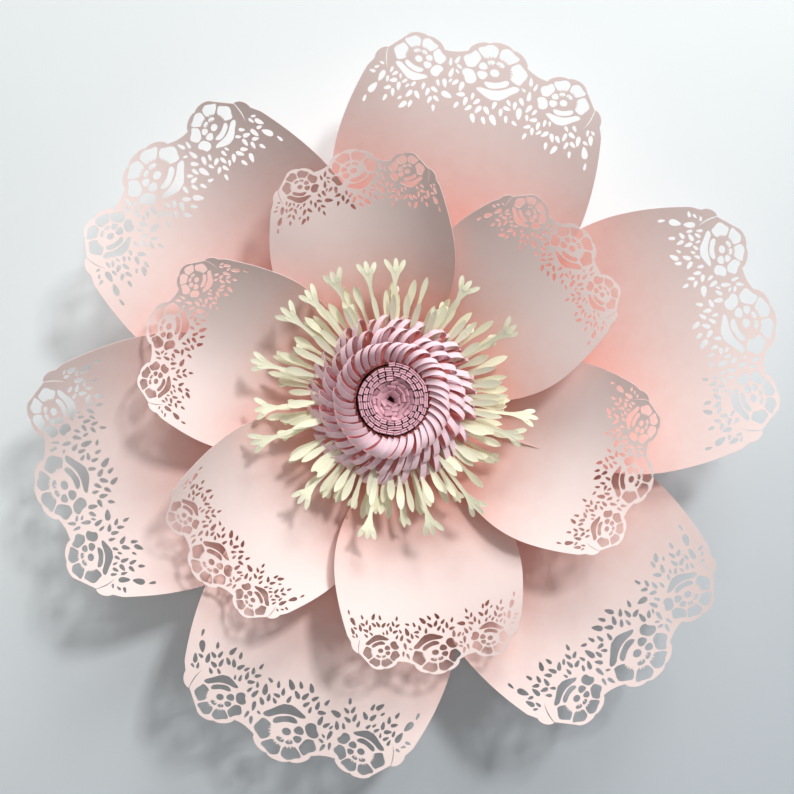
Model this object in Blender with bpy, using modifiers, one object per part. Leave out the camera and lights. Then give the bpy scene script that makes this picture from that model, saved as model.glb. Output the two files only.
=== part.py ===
"""Giant paper flower for a wall, cut and curled from card.

The flower is seen from -Y with +Z up, and its flat back lies on the wall at Y = 0. Two rings of six cupped
petals, each cut with a band of roses and leaves along its lip, are glued to two discs of board. In their
middle stands a bundle of rolled paper fringes: stamens, folded loops and a tightly rolled core.

A petal is drawn flat as it is cut, with `across` and `along` in the plane of the card. It is then bent: its
spine climbs away from the wall, its sides curl up, and it is tilted so that it lies over the next petal.
"""

import math
from dataclasses import dataclass

import bmesh
import bpy
from mathutils import Vector
from mathutils.bvhtree import BVHTree
from mathutils.geometry import delaunay_2d_cdt

MM = 0.001

# Card, board and glue
CARD = 0.4 * MM
BOARD = 2.0 * MM
GLUE_GAP = 0.3 * MM

# Cut sheet of an outer petal; the inner sheet is the same drawing at INNER_SCALE
PETAL_LENGTH = 277 * MM
FOOT_HALF_WIDTH = 22 * MM
BLADE_HALF_WIDTH = 108 * MM
WIDEST_AT = 172 * MM
CORNER_HALF_WIDTH = 97 * MM
CORNER_DROP = 35.5 * MM
SHOULDER_FULLNESS = 1.3
INNER_SCALE = 0.73

# Where the sheet has corners up its sides, and the rows of points at which its blade bends
SIDE_STATIONS = (0.0, 0.1, 0.22, 0.38, 0.55, 0.7, 0.86, 1.0)
BLADE_ROWS = (0.12, 0.26, 0.42, 0.58, 0.73)
BLADE_POINT_SPACING = 36 * MM
CUT_TOLERANCE = 0.001 * MM

# Lace along the lip, in the sizes of an outer petal
ROSE_SPACING = 61 * MM
MIDDLE_ROSE_RADIUS = 22.8 * MM
SIDE_ROSE_RADIUS = 19 * MM
SIDE_ROSE_DROP = 11 * MM
ROSE_WIDENING = 1.3
LACE_RIM = 2.4 * MM
ROSE_EYE_RADIUS = 4.5 * MM
ROSE_PETAL_HALF_ANGLE = math.radians(27)
ROSE_PETAL_SHOULDER = 0.72
OUTER_ROSE_PETALS = 5
INNER_ROSE_PETALS = 4
CORNER_BUMP_RADIUS = 12 * MM
CORNER_BUMP_SINK = 4.8 * MM
LEAF_LENGTH = 13 * MM
LEAF_HALF_WIDTH = 2.6 * MM

# Arcs of the scalloped lip: from and to which angle, in degrees from the across direction, and their points
CORNER_BUMP_ARC = (0, 75, 3)
SIDE_ROSE_ARC = (50, 138, 4)
MIDDLE_ROSE_ARC = (28, 152, 5)

# Leaves cut below and beside the roses: across, depth below the lip and heading
MIDDLE_LEAVES = ((-30 * MM, 51 * MM, 115), (30 * MM, 51 * MM, 65))
CORNER_LEAVES = ((-86 * MM, 47 * MM, 105), (86 * MM, 47 * MM, 75))

# How a petal is bent
FOOT_SLOPE = math.radians(4)
CLIMB_ENDS_AT = 0.5
LIP_RELAX = math.radians(5)
RELAX_STARTS_AT = 0.75
FOOT_CUP_SHARE = 0.55
TUCKED_CUP_SHARE = 0.6
FOOT_TILT = math.radians(6)
LIP_TILT = math.radians(2)
TILT_ENDS_AT = 0.8
SPINE_STEPS = 48
FOOT_PROBES = 6

# How finely a seat is looked for on the petals
SEAT_PROBES = 180
SEAT_RINGS = 8
FAR_IN_FRONT = 1.0

# Discs
DISC_SIDES = 32
BACK_DISC_RADIUS = 52 * MM
FRONT_DISC_RADIUS = 40 * MM

# Rolled core
CORE_RADIUS = 29.5 * MM
CORE_RIM_WIDTH = 10 * MM
CORE_HEIGHT = 50 * MM
CORE_CENTRE_DROP = 2 * MM
CORE_HOLE_RADIUS = 3.2 * MM
CORE_RECESS = 10 * MM
ROLL_GROOVE = 2.2 * MM
ROLL_SLIT = 0.5 * MM
FOLDED_END_STEP = 0.8 * MM

# Fringes rolled round the core, with heights from the foot of the bundle
LOOP_STRIP_WIDTH = 5.6 * MM
STAMEN_STRIP_WIDTH = 3.2 * MM
STAMEN_TIP_WIDTH = 7.6 * MM
STAMEN_TIP_LENGTH = 20 * MM
FORK_WIDTH = 8.0 * MM
PRONGS = 3
PRONG_LENGTH = 14 * MM
PRONG_SPREAD = 17 * MM
WELD_DISTANCE = 0.01 * MM


@dataclass(frozen=True)
class Petal:
    """One petal of the flower.

    `angle` is clockwise from straight up, `foot` the distance of its foot from the axis and `aside` how far its
    middle line passes the axis on the clockwise side.
    """

    name: str
    angle: float
    foot: float
    aside: float
    rise: float
    cup_radius: float
    scale: float = 1.0


@dataclass(frozen=True)
class Fringe:
    """A strip with cut fingers, rolled round the core. Its path leads from the collar out along a finger."""

    name: str
    fingers: int
    collar_height: float
    path: tuple
    lean: float
    turn: float = 0.0


@dataclass(frozen=True)
class Roll:
    """A strip rolled up on edge: its turns step towards the axis, and its top edge falls with them."""

    outer_radius: float
    inner_radius: float
    turns: int
    sides: int
    outer_height: float
    inner_height: float


OUTER_PETALS = (
    Petal("outer_petal_1", math.radians(17.3), 29 * MM, 0 * MM, math.radians(15), 215 * MM),
    Petal("outer_petal_2", math.radians(78.2), 45 * MM, -3 * MM, math.radians(15), 300 * MM),
    Petal("outer_petal_3", math.radians(137.0), 37 * MM, -6 * MM, math.radians(15), 280 * MM),
    Petal("outer_petal_4", math.radians(201.4), 33 * MM, -19 * MM, math.radians(14), 240 * MM),
    Petal("outer_petal_5", math.radians(255.9), 26 * MM, -3 * MM, math.radians(14), 170 * MM),
    Petal("outer_petal_6", math.radians(313.8), 15 * MM, -1 * MM, math.radians(15), 160 * MM),
)

INNER_PETALS = (
    Petal("inner_petal_1", math.radians(351.3), 9 * MM, -3 * MM, math.radians(21), 92 * MM, INNER_SCALE),
    Petal("inner_petal_2", math.radians(47.7), 12 * MM, 7 * MM, math.radians(23), 102 * MM, INNER_SCALE),
    Petal("inner_petal_3", math.radians(107.9), 25 * MM, 1 * MM, math.radians(22), 140 * MM, INNER_SCALE),
    Petal("inner_petal_4", math.radians(172.9), 28 * MM, -10 * MM, math.radians(22), 108 * MM, INNER_SCALE),
    Petal("inner_petal_5", math.radians(230.6), 17 * MM, -9 * MM, math.radians(21), 92 * MM, INNER_SCALE),
    Petal("inner_petal_6", math.radians(291.5), 11 * MM, -11 * MM, math.radians(22), 95 * MM, INNER_SCALE),
)

CORE_RIM = Roll(
    outer_radius=CORE_RADIUS,
    inner_radius=CORE_RADIUS - CORE_RIM_WIDTH,
    turns=3,
    sides=23,
    outer_height=CORE_HEIGHT,
    inner_height=CORE_HEIGHT,
)
CORE_CENTRE = Roll(
    outer_radius=CORE_RADIUS - CORE_RIM_WIDTH - GLUE_GAP,
    inner_radius=CORE_HOLE_RADIUS,
    turns=4,
    sides=15,
    outer_height=CORE_HEIGHT - CORE_CENTRE_DROP,
    inner_height=CORE_HEIGHT - CORE_RECESS,
)

# Each point of a path is how far out from the collar and how high above the foot of the bundle it lies
LOOP_FRINGES = (
    Fringe("loop_fringe_inner", 22, 40 * MM,
           ((4 * MM, 51 * MM), (13 * MM, 53 * MM), (15 * MM, 49 * MM), (3 * MM, 45 * MM)), 0.06),
    Fringe("loop_fringe_middle", 22, 32 * MM,
           ((7 * MM, 42 * MM), (20 * MM, 45 * MM), (22 * MM, 40 * MM), (8 * MM, 35 * MM)), 0.12, 0.10),
    Fringe("loop_fringe_outer", 24, 24 * MM,
           ((10 * MM, 31 * MM), (28 * MM, 36 * MM), (30 * MM, 31 * MM), (14 * MM, 26 * MM)), 0.16, 0.05),
)
SHORT_STAMENS = Fringe("stamen_fringe_short", 28, 16 * MM, ((24 * MM, 24 * MM), (42 * MM, 31.5 * MM)), 0.06)
LONG_STAMENS = Fringe("stamen_fringe_long", 16, 12 * MM, ((34 * MM, 24 * MM), (70 * MM, 43 * MM)), 0.04)

PETAL_PINK = (0.84, 0.60, 0.56)
LOOP_PINK = (0.62, 0.36, 0.40)
CORE_MAUVE = (0.40, 0.20, 0.25)
STAMEN_CREAM = (0.90, 0.84, 0.62)
BOARD_GREY = (0.55, 0.52, 0.48)
PAPER_ROUGHNESS = 0.85
SMOOTHING_ANGLE = math.radians(35)


def smooth_step(share):
    """Goes from 0 to 1 with level ends as share does."""
    share = min(max(share, 0.0), 1.0)
    return share * share * (3 - 2 * share)


def on_wall(angle, out, sideways, height):
    """The point `out` from the axis at `angle`, `sideways` clockwise of that and `height` off the wall."""
    return Vector((
        out * math.sin(angle) + sideways * math.cos(angle),
        -height,
        out * math.cos(angle) - sideways * math.sin(angle),
    ))


class PetalForm:
    """Bends the flat drawing of a petal to its place in the flower."""

    def __init__(self, petal, seat):
        self.petal = petal
        self.length = PETAL_LENGTH * petal.scale
        self.out = [petal.foot]
        self.height = [0.0]
        stride = self.length / SPINE_STEPS
        for step in range(SPINE_STEPS):
            slope = self.slope((step + 0.5) * stride)
            self.out.append(self.out[-1] + stride * math.cos(slope))
            self.height.append(self.height[-1] + stride * math.sin(slope))
        probe_step = FOOT_HALF_WIDTH * petal.scale / FOOT_PROBES
        foot = [self.point(probe_step * probe, 0.0) for probe in range(-FOOT_PROBES, FOOT_PROBES + 1)]
        lift = seat + GLUE_GAP + CARD - min(-place.y for place in foot)
        self.height = [height + lift for height in self.height]

    def slope(self, along):
        """The spine's angle to the wall: it climbs over the first half and eases off towards the lip."""
        share = along / self.length
        climb = (self.petal.rise - FOOT_SLOPE) * smooth_step(share / CLIMB_ENDS_AT)
        return FOOT_SLOPE + climb - LIP_RELAX * smooth_step((share - RELAX_STARTS_AT) / (1 - RELAX_STARTS_AT))

    def spine(self, along):
        """How far out and how high the spine is at `along`."""
        place = min(max(along / self.length, 0.0), 1.0) * SPINE_STEPS
        step = min(int(place), SPINE_STEPS - 1)
        share = place - step
        out = self.out[step] + share * (self.out[step + 1] - self.out[step])
        height = self.height[step] + share * (self.height[step + 1] - self.height[step])
        return out, height

    def tilt(self, along):
        """The roll about the spine, which lifts the clockwise side over the next petal."""
        return FOOT_TILT + (LIP_TILT - FOOT_TILT) * smooth_step(along / (TILT_ENDS_AT * self.length))

    def curl(self, across, along):
        """The curvature across the blade: more towards the lip, and less where the side is tucked under."""
        share = along / self.length
        cup = FOOT_CUP_SHARE + (1 - FOOT_CUP_SHARE) * smooth_step(share)
        tucked = smooth_step(-across / (BLADE_HALF_WIDTH * self.petal.scale)) * smooth_step(2 - 2 * share)
        return cup * (1 - (1 - TUCKED_CUP_SHARE) * tucked) / self.petal.cup_radius

    def point(self, across, along):
        """The place in the flower of a point of the flat drawing."""
        out, height = self.spine(along)
        slope = self.slope(along)
        tilt = self.tilt(along)
        curl = self.curl(across, along)
        sideways = math.sin(curl * across) / curl
        up = (1 - math.cos(curl * across)) / curl
        turned_side = sideways * math.cos(tilt) - up * math.sin(tilt)
        turned_up = sideways * math.sin(tilt) + up * math.cos(tilt)
        return on_wall(
            self.petal.angle,
            out - turned_up * math.sin(slope),
            self.petal.aside + turned_side,
            height + turned_up * math.cos(slope),
        )


def half_width(along):
    """Half the width of the flat outer petal at `along`."""
    if along < WIDEST_AT:
        share = 1 - (1 - along / WIDEST_AT) ** 2
        return FOOT_HALF_WIDTH + (BLADE_HALF_WIDTH - FOOT_HALF_WIDTH) * share**SHOULDER_FULLNESS
    corner_along = PETAL_LENGTH - CORNER_DROP
    share = (along - WIDEST_AT) / (corner_along - WIDEST_AT)
    return BLADE_HALF_WIDTH - (BLADE_HALF_WIDTH - CORNER_HALF_WIDTH) * share**2


def arc(centre, radius, reach, widening=1.0):
    """Points of an arc round centre, whose reach is its first and last angle in degrees and its points."""
    start, end, count = reach
    angles = [math.radians(start + (end - start) * step / (count - 1)) for step in range(count)]
    return [(centre[0] + radius * widening * math.cos(a), centre[1] + radius * math.sin(a)) for a in angles]


def rose_centres():
    """Centre and radius of the three roses of the lace."""
    side = PETAL_LENGTH - SIDE_ROSE_DROP - SIDE_ROSE_RADIUS
    return (
        ((-ROSE_SPACING, side), SIDE_ROSE_RADIUS),
        ((0.0, PETAL_LENGTH - MIDDLE_ROSE_RADIUS), MIDDLE_ROSE_RADIUS),
        ((ROSE_SPACING, side), SIDE_ROSE_RADIUS),
    )


def lip_points():
    """The scalloped lip, from the right side to the left: end bump, rose, rose, rose, end bump."""
    bump = (CORNER_HALF_WIDTH - CORNER_BUMP_RADIUS, PETAL_LENGTH - CORNER_DROP - CORNER_BUMP_SINK)
    _, middle_rose, side_rose = rose_centres()
    right = arc(bump, CORNER_BUMP_RADIUS, CORNER_BUMP_ARC) + arc(*side_rose, SIDE_ROSE_ARC, ROSE_WIDENING)
    middle = arc(*middle_rose, MIDDLE_ROSE_ARC, ROSE_WIDENING)
    left = [(-across, along) for across, along in reversed(right)]
    return right + middle + left


def rose_windows(petals_in_rose):
    """The kite-shaped windows that draw the three roses."""
    windows = []
    for (across, along), radius in rose_centres():
        reach = radius - LACE_RIM
        for index in range(petals_in_rose):
            heading = math.radians(90) + 2 * math.pi * index / petals_in_rose
            kite = (
                (ROSE_EYE_RADIUS, 0.0),
                (ROSE_PETAL_SHOULDER * reach, -ROSE_PETAL_HALF_ANGLE),
                (reach, 0.0),
                (ROSE_PETAL_SHOULDER * reach, ROSE_PETAL_HALF_ANGLE),
            )
            windows.append([
                (
                    across + away * ROSE_WIDENING * math.cos(heading + turn),
                    along + away * math.sin(heading + turn),
                )
                for away, turn in kite
            ])
    return windows


def leaf_windows(leaves):
    """The leaves of the sprays below and beside the roses, from (across, depth below the lip, heading)."""
    windows = []
    for across, depth, heading in leaves:
        along = PETAL_LENGTH - depth
        ahead = Vector((math.cos(math.radians(heading)), math.sin(math.radians(heading))))
        aside = Vector((-ahead.y, ahead.x))
        centre = Vector((across, along))
        corners = (
            centre - ahead * LEAF_LENGTH / 2,
            centre - aside * LEAF_HALF_WIDTH,
            centre + ahead * LEAF_LENGTH / 2,
            centre + aside * LEAF_HALF_WIDTH,
        )
        windows.append([(corner.x, corner.y) for corner in corners])
    return windows


def petal_outline():
    """The outline of the outer petal's sheet, from the foot up the right side, along the lip and down again."""
    side_end = PETAL_LENGTH - CORNER_DROP - CORNER_BUMP_RADIUS
    right = [(half_width(side_end * share), side_end * share) for share in SIDE_STATIONS]
    left = [(-across, along) for across, along in reversed(right)]
    return right + lip_points() + left


def blade_points():
    """Points inside the blade, where the card can bend, and one in each rose's eye."""
    points = [centre for centre, _ in rose_centres()]
    for share in BLADE_ROWS:
        along = share * PETAL_LENGTH
        columns = round(2 * half_width(along) / BLADE_POINT_SPACING) - 1
        for column in range(columns):
            points.append((half_width(along) * (2 * (column + 1) / (columns + 1) - 1), along))
    return points


def lies_inside(place, outline):
    """True for a place inside the closed outline, by counting the sides to its right."""
    across, along = place
    crossings = 0
    for (x1, y1), (x2, y2) in zip(outline, outline[1:] + outline[:1]):
        if (y1 > along) != (y2 > along) and across < x1 + (along - y1) * (x2 - x1) / (y2 - y1):
            crossings += 1
    return crossings % 2 == 1


def cut_sheet(outline, windows, inner_points):
    """A flat triangulated sheet with the outline, less the windows, that can bend at the inner points."""
    points = []
    edges = []
    for loop in [outline] + windows:
        first = len(points)
        points += loop
        edges += [(first + step, first + (step + 1) % len(loop)) for step in range(len(loop))]
    points += inner_points
    flat = [Vector(point) for point in points]
    corners, _, triangles, *_ = delaunay_2d_cdt(flat, edges, [], 0, CUT_TOLERANCE)
    sheet = bmesh.new()
    verts = [sheet.verts.new((corner.x, corner.y, 0.0)) for corner in corners]
    for triangle in triangles:
        middle = sum((corners[index] for index in triangle), Vector((0, 0))) / 3
        if lies_inside(middle, outline) and not any(lies_inside(middle, window) for window in windows):
            sheet.faces.new([verts[index] for index in triangle])
    face_front(sheet, Vector((0, 0, 1)))
    return sheet


def paper_material(name, colour):
    """Plain matt paper."""
    material = bpy.data.materials.new(name)
    material.use_nodes = True
    shader = material.node_tree.nodes["Principled BSDF"]
    shader.inputs["Base Color"].default_value = (*colour, 1.0)
    shader.inputs["Roughness"].default_value = PAPER_ROUGHNESS
    shader.inputs["Metallic"].default_value = 0.0
    return material


def add_object(collection, name, sheet, material, thickness=None):
    """Puts the mesh in the collection as one object, with a wall of `thickness` behind an open sheet."""
    mesh = bpy.data.meshes.new(name)
    sheet.to_mesh(mesh)
    sheet.free()
    mesh.materials.append(material)
    mesh.shade_smooth()
    mesh.set_sharp_from_angle(angle=SMOOTHING_ANGLE)
    obj = bpy.data.objects.new(name, mesh)
    collection.objects.link(obj)
    if thickness:
        wall = obj.modifiers.new("card", "SOLIDIFY")
        wall.thickness = thickness
        wall.offset = -1.0
    return obj


def face_front(sheet, front):
    """Turns the faces of an open sheet so that its first face looks along `front`, with the wall behind it."""
    bmesh.ops.recalc_face_normals(sheet, faces=sheet.faces)
    sheet.faces.ensure_lookup_table()
    sheet.normal_update()
    if sheet.faces[0].normal.dot(front) < 0:
        bmesh.ops.reverse_faces(sheet, faces=sheet.faces)


def top_within(sheets, radius):
    """The highest point of the sheets that lies within `radius` of the axis, probed from the front."""
    top = 0.0
    for sheet in sheets:
        tree = BVHTree.FromBMesh(sheet)
        for ring in range(1, SEAT_RINGS + 1):
            for step in range(SEAT_PROBES):
                place = on_wall(2 * math.pi * step / SEAT_PROBES, radius * ring / SEAT_RINGS, 0.0, FAR_IN_FRONT)
                hit = tree.ray_cast(place, Vector((0, 1, 0)))[0]
                if hit:
                    top = max(top, -hit.y)
    return top


def add_disc(collection, name, radius, seat, material):
    """A disc of board whose back lies at the height `seat`."""
    disc = bmesh.new()
    bmesh.ops.create_cone(disc, cap_ends=True, segments=DISC_SIDES, radius1=radius, radius2=radius,
                          depth=BOARD)
    for vert in disc.verts:
        vert.co = (vert.co.x, -(seat + BOARD / 2 + vert.co.z), vert.co.y)
    bmesh.ops.recalc_face_normals(disc, faces=disc.faces)
    return add_object(collection, name, disc, material)


def extrude_strip(sheet, ends, left, right):
    """Extrudes the end of a strip of paper to new places, and returns its new left and right corner."""
    made = bmesh.ops.extrude_edge_only(sheet, edges=[sheet.edges.get(ends)])["geom"]
    corners = [item for item in made if isinstance(item, bmesh.types.BMVert)]
    new_left = next(corner for corner in corners if sheet.edges.get((corner, ends[0])))
    new_right = next(corner for corner in corners if sheet.edges.get((corner, ends[1])))
    new_left.co = left
    new_right.co = right
    return new_left, new_right


class FringeForm:
    """Places one finger of a fringe that is rolled to a collar round the core."""

    def __init__(self, fringe, collar_radius, bundle_foot):
        self.fringe = fringe
        self.collar_radius = collar_radius
        self.foot = bundle_foot

    def collar_corners(self, height):
        """Left and right corner of the finger's share of the collar."""
        half_step = math.pi / self.fringe.fingers
        return [
            on_wall(self.fringe.turn + side * half_step, self.collar_radius, 0.0, self.foot + height)
            for side in (-1, 1)
        ]

    def corners(self, out, height, width):
        """Left and right corner of the finger further out, turned by the lean of the fringe."""
        angle = self.fringe.turn + self.fringe.lean * out / self.fringe.path[-1][0]
        return [
            on_wall(angle, self.collar_radius + out, side * width / 2, self.foot + height)
            for side in (-1, 1)
        ]

    def start(self):
        """A new sheet with the collar under one finger, and the finger's two root corners."""
        sheet = bmesh.new()
        ends = tuple(sheet.verts.new(corner) for corner in self.collar_corners(0.0))
        sheet.edges.new(ends)
        return sheet, extrude_strip(sheet, ends, *self.collar_corners(self.fringe.collar_height))

    def spin(self, sheet):
        """Copies the finished finger round the axis and joins the collar."""
        copies = self.fringe.fingers - 1
        bmesh.ops.spin(
            sheet,
            geom=sheet.verts[:] + sheet.edges[:] + sheet.faces[:],
            cent=(0, 0, 0),
            axis=(0, 1, 0),
            angle=2 * math.pi * copies / self.fringe.fingers,
            steps=copies,
            use_duplicate=True,
        )
        bmesh.ops.remove_doubles(sheet, verts=sheet.verts, dist=WELD_DISTANCE)
        sheet.faces.ensure_lookup_table()
        face_front(sheet, sheet.faces[0].calc_center_median() * Vector((1, 0, 1)))


def loop_row(form):
    """A row of loops: each strip goes out, turns over and comes back under itself."""
    sheet, ends = form.start()
    for out, height in form.fringe.path:
        ends = extrude_strip(sheet, ends, *form.corners(out, height, LOOP_STRIP_WIDTH))
    form.spin(sheet)
    return sheet


def spoon_stamens(form):
    """Stamens with a spoon-shaped tip."""
    sheet, ends = form.start()
    (bend_out, bend_height), (neck_out, neck_height) = form.fringe.path
    climb = (neck_height - bend_height) / (neck_out - bend_out)
    middle_out = neck_out + STAMEN_TIP_LENGTH / 2
    ends = extrude_strip(sheet, ends, *form.corners(bend_out, bend_height, STAMEN_STRIP_WIDTH))
    ends = extrude_strip(sheet, ends, *form.corners(neck_out, neck_height, STAMEN_STRIP_WIDTH))
    middle_height = neck_height + climb * STAMEN_TIP_LENGTH / 2
    ends = extrude_strip(sheet, ends, *form.corners(middle_out, middle_height, STAMEN_TIP_WIDTH))
    tip = form.corners(neck_out + STAMEN_TIP_LENGTH, neck_height + climb * STAMEN_TIP_LENGTH, 0.0)[0]
    sheet.faces.new((*ends, sheet.verts.new(tip)))
    form.spin(sheet)
    return sheet


def pronged_stamens(form):
    """Stamens whose tip is cut into prongs."""
    sheet, ends = form.start()
    (bend_out, bend_height), (fork_out, fork_height) = form.fringe.path
    climb = (fork_height - bend_height) / (fork_out - bend_out)
    ends = extrude_strip(sheet, ends, *form.corners(bend_out, bend_height, STAMEN_STRIP_WIDTH))
    left, right = form.corners(fork_out, fork_height, FORK_WIDTH)
    fork = [sheet.verts.new(left.lerp(right, index / PRONGS)) for index in range(PRONGS + 1)]
    sheet.faces.new((*ends, *reversed(fork)))
    tip_out = fork_out + PRONG_LENGTH
    tips = form.corners(tip_out, fork_height + climb * PRONG_LENGTH, PRONG_SPREAD)
    for index in range(PRONGS):
        tip = sheet.verts.new(tips[0].lerp(tips[1], index / (PRONGS - 1)))
        sheet.faces.new((fork[index], fork[index + 1], tip))
    form.spin(sheet)
    return sheet


def rolled_strip(roll, foot):
    """The roll as one solid, whose crest, groove and two walls follow a spiral."""
    last = roll.turns * roll.sides
    pitch = (roll.outer_radius - roll.inner_radius) / roll.turns
    solid = bmesh.new()

    def spiral(index, inset, drop):
        share = index / last
        radius = roll.outer_radius - pitch * index / roll.sides - inset
        height = roll.outer_height + (roll.inner_height - roll.outer_height) * share
        folded_end = FOLDED_END_STEP if index % 2 else 0.0
        return solid.verts.new(
            on_wall(2 * math.pi * index / roll.sides, radius, 0.0, foot + height - drop - folded_end)
        )

    def base(index, inset):
        radius = roll.outer_radius - pitch * index / roll.sides - inset
        return solid.verts.new(on_wall(2 * math.pi * index / roll.sides, radius, 0.0, foot))

    step_in = pitch - ROLL_SLIT
    crest = [spiral(index, 0.0, 0.0) for index in range(last + 1)]
    groove = [spiral(index, step_in, ROLL_GROOVE) for index in range(last + 1)]
    outer_foot = [base(index, 0.0) for index in range(roll.sides + 1)]
    inner_foot = [base(index, step_in) for index in range(last - roll.sides, last + 1)]
    inner_wall = groove[last - roll.sides:]
    for index in range(last):
        solid.faces.new((crest[index], crest[index + 1], groove[index + 1], groove[index]))
    for index in range(last - roll.sides):
        ahead = index + roll.sides
        solid.faces.new((groove[index], groove[index + 1], crest[ahead + 1], crest[ahead]))
    for index in range(roll.sides):
        solid.faces.new((outer_foot[index], outer_foot[index + 1], crest[index + 1], crest[index]))
        solid.faces.new((inner_wall[index], inner_wall[index + 1], inner_foot[index + 1], inner_foot[index]))
    for index in range(1, roll.sides - 1):
        solid.faces.new((outer_foot[index], outer_foot[index + 1], inner_foot[index + 1], inner_foot[index]))
    solid.faces.new((outer_foot[0], outer_foot[1], inner_foot[1], inner_foot[0], outer_foot[-1]))
    solid.faces.new((outer_foot[-2], outer_foot[-1], inner_foot[0], inner_foot[-1], inner_foot[-2]))
    solid.faces.new((outer_foot[0], crest[0], groove[0], crest[roll.sides], outer_foot[-1]))
    solid.faces.new((inner_wall[0], crest[last], inner_wall[-1], inner_foot[-1], inner_foot[0]))
    bmesh.ops.recalc_face_normals(solid, faces=solid.faces)
    return solid


def bent_petals(petals, seat, drawing):
    """Bends a copy of the drawing into each petal of a ring that is glued to the seat."""
    sheets = []
    for petal in petals:
        form = PetalForm(petal, seat)
        sheet = drawing.copy()
        for vert in sheet.verts:
            vert.co = form.point(vert.co.x * petal.scale, vert.co.y * petal.scale)
        sheets.append(sheet)
    drawing.free()
    return sheets


def collar_outside(inside, fringe):
    """The corner radius of a collar whose flat sides clear the roll inside it."""
    return (inside + GLUE_GAP + CARD) / math.cos(math.pi / fringe.fingers)


def add_centre(collection, bundle_foot):
    """The bundle of rolls and fringes, from the core outwards."""
    core_paper = paper_material("core_paper", CORE_MAUVE)
    add_object(collection, "core_rim_roll", rolled_strip(CORE_RIM, bundle_foot), core_paper)
    centre_paper = paper_material("core_centre_paper", CORE_MAUVE)
    add_object(collection, "core_centre_roll", rolled_strip(CORE_CENTRE, bundle_foot), centre_paper)
    loop_paper = paper_material("loop_paper", LOOP_PINK)
    stamen_paper = paper_material("stamen_paper", STAMEN_CREAM)
    rows = [(fringe, loop_row, loop_paper) for fringe in LOOP_FRINGES]
    rows.append((SHORT_STAMENS, spoon_stamens, stamen_paper))
    rows.append((LONG_STAMENS, pronged_stamens, stamen_paper))
    collar_radius = CORE_RADIUS
    for fringe, finger, paper in rows:
        collar_radius = collar_outside(collar_radius, fringe)
        sheet = finger(FringeForm(fringe, collar_radius, bundle_foot))
        add_object(collection, fringe.name, sheet, paper, CARD)


def main():
    """Builds the flower from the wall outwards."""
    for obj in list(bpy.data.objects):
        bpy.data.objects.remove(obj)
    flower = bpy.data.collections.new("giant_paper_flower")
    bpy.context.scene.collection.children.link(flower)
    board = paper_material("grey_board", BOARD_GREY)
    petal_card = paper_material("petal_card", PETAL_PINK)
    bundle_radius = CORE_RADIUS
    for fringe in (*LOOP_FRINGES, SHORT_STAMENS, LONG_STAMENS):
        bundle_radius = collar_outside(bundle_radius, fringe)
    outer_sheets = bent_petals(OUTER_PETALS, BOARD, cut_sheet(
        petal_outline(),
        rose_windows(OUTER_ROSE_PETALS) + leaf_windows(MIDDLE_LEAVES + CORNER_LEAVES),
        blade_points(),
    ))
    front_seat = top_within(outer_sheets, FRONT_DISC_RADIUS) + GLUE_GAP
    inner_sheets = bent_petals(INNER_PETALS, front_seat + BOARD, cut_sheet(
        petal_outline(),
        rose_windows(INNER_ROSE_PETALS) + leaf_windows(MIDDLE_LEAVES),
        blade_points(),
    ))
    bundle_foot = top_within(inner_sheets, bundle_radius) + GLUE_GAP
    add_disc(flower, "back_disc", BACK_DISC_RADIUS, 0.0, board)
    add_disc(flower, "front_disc", FRONT_DISC_RADIUS, front_seat, board)
    for petal, sheet in zip(OUTER_PETALS + INNER_PETALS, outer_sheets + inner_sheets):
        add_object(flower, petal.name, sheet, petal_card, CARD)
    add_centre(flower, bundle_foot)


main()
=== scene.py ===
"""Look of the giant paper flower on its wall.

The flower is seen from -Y with +Z up, and the wall lies at Y = 0. All lengths are metres. Petals are drawn
flat, as they are cut, with `across` and `along` in the plane of the card, and are then bent to their place.
The fringes round the core are ribbons of paper. Everything random is seeded.
"""

import logging
import math
import random
from dataclasses import dataclass, field
from enum import Enum
from typing import TypeVar, Union

import bpy
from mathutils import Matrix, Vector, noise
from mathutils.geometry import delaunay_2d_cdt

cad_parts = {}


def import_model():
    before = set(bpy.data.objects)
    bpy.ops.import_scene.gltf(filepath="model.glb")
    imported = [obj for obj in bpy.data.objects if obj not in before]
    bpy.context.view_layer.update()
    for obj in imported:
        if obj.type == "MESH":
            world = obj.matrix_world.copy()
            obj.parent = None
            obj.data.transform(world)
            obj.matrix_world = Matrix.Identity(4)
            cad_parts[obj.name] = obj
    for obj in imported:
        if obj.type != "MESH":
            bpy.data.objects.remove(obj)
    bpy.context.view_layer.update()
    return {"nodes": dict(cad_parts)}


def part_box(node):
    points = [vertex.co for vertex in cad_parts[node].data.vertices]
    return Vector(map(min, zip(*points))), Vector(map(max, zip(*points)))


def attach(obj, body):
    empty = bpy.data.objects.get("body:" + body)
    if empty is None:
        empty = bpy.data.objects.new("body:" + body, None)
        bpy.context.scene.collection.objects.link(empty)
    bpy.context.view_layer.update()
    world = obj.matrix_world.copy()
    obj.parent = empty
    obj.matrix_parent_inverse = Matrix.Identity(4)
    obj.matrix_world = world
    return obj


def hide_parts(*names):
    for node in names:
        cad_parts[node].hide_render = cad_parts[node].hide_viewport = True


LOG = logging.getLogger("flower")
MM = 0.001
TOWARDS_VIEWER = Vector((0.0, -1.0, 0.0))
SMOOTHING_ANGLE = math.radians(40)
SAME_PLACE = 0.001 * MM


Part = TypeVar("Part", float, Vector)


def smooth_step(share: float) -> float:
    """A share, held between 0 and 1 and eased so that it starts and ends level."""
    share = min(max(share, 0.0), 1.0)
    return share * share * (3 - 2 * share)


def blend(first: float, second: float, share: float) -> float:
    """The value at this share of the way from first to second."""
    return first + (second - first) * share


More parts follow.
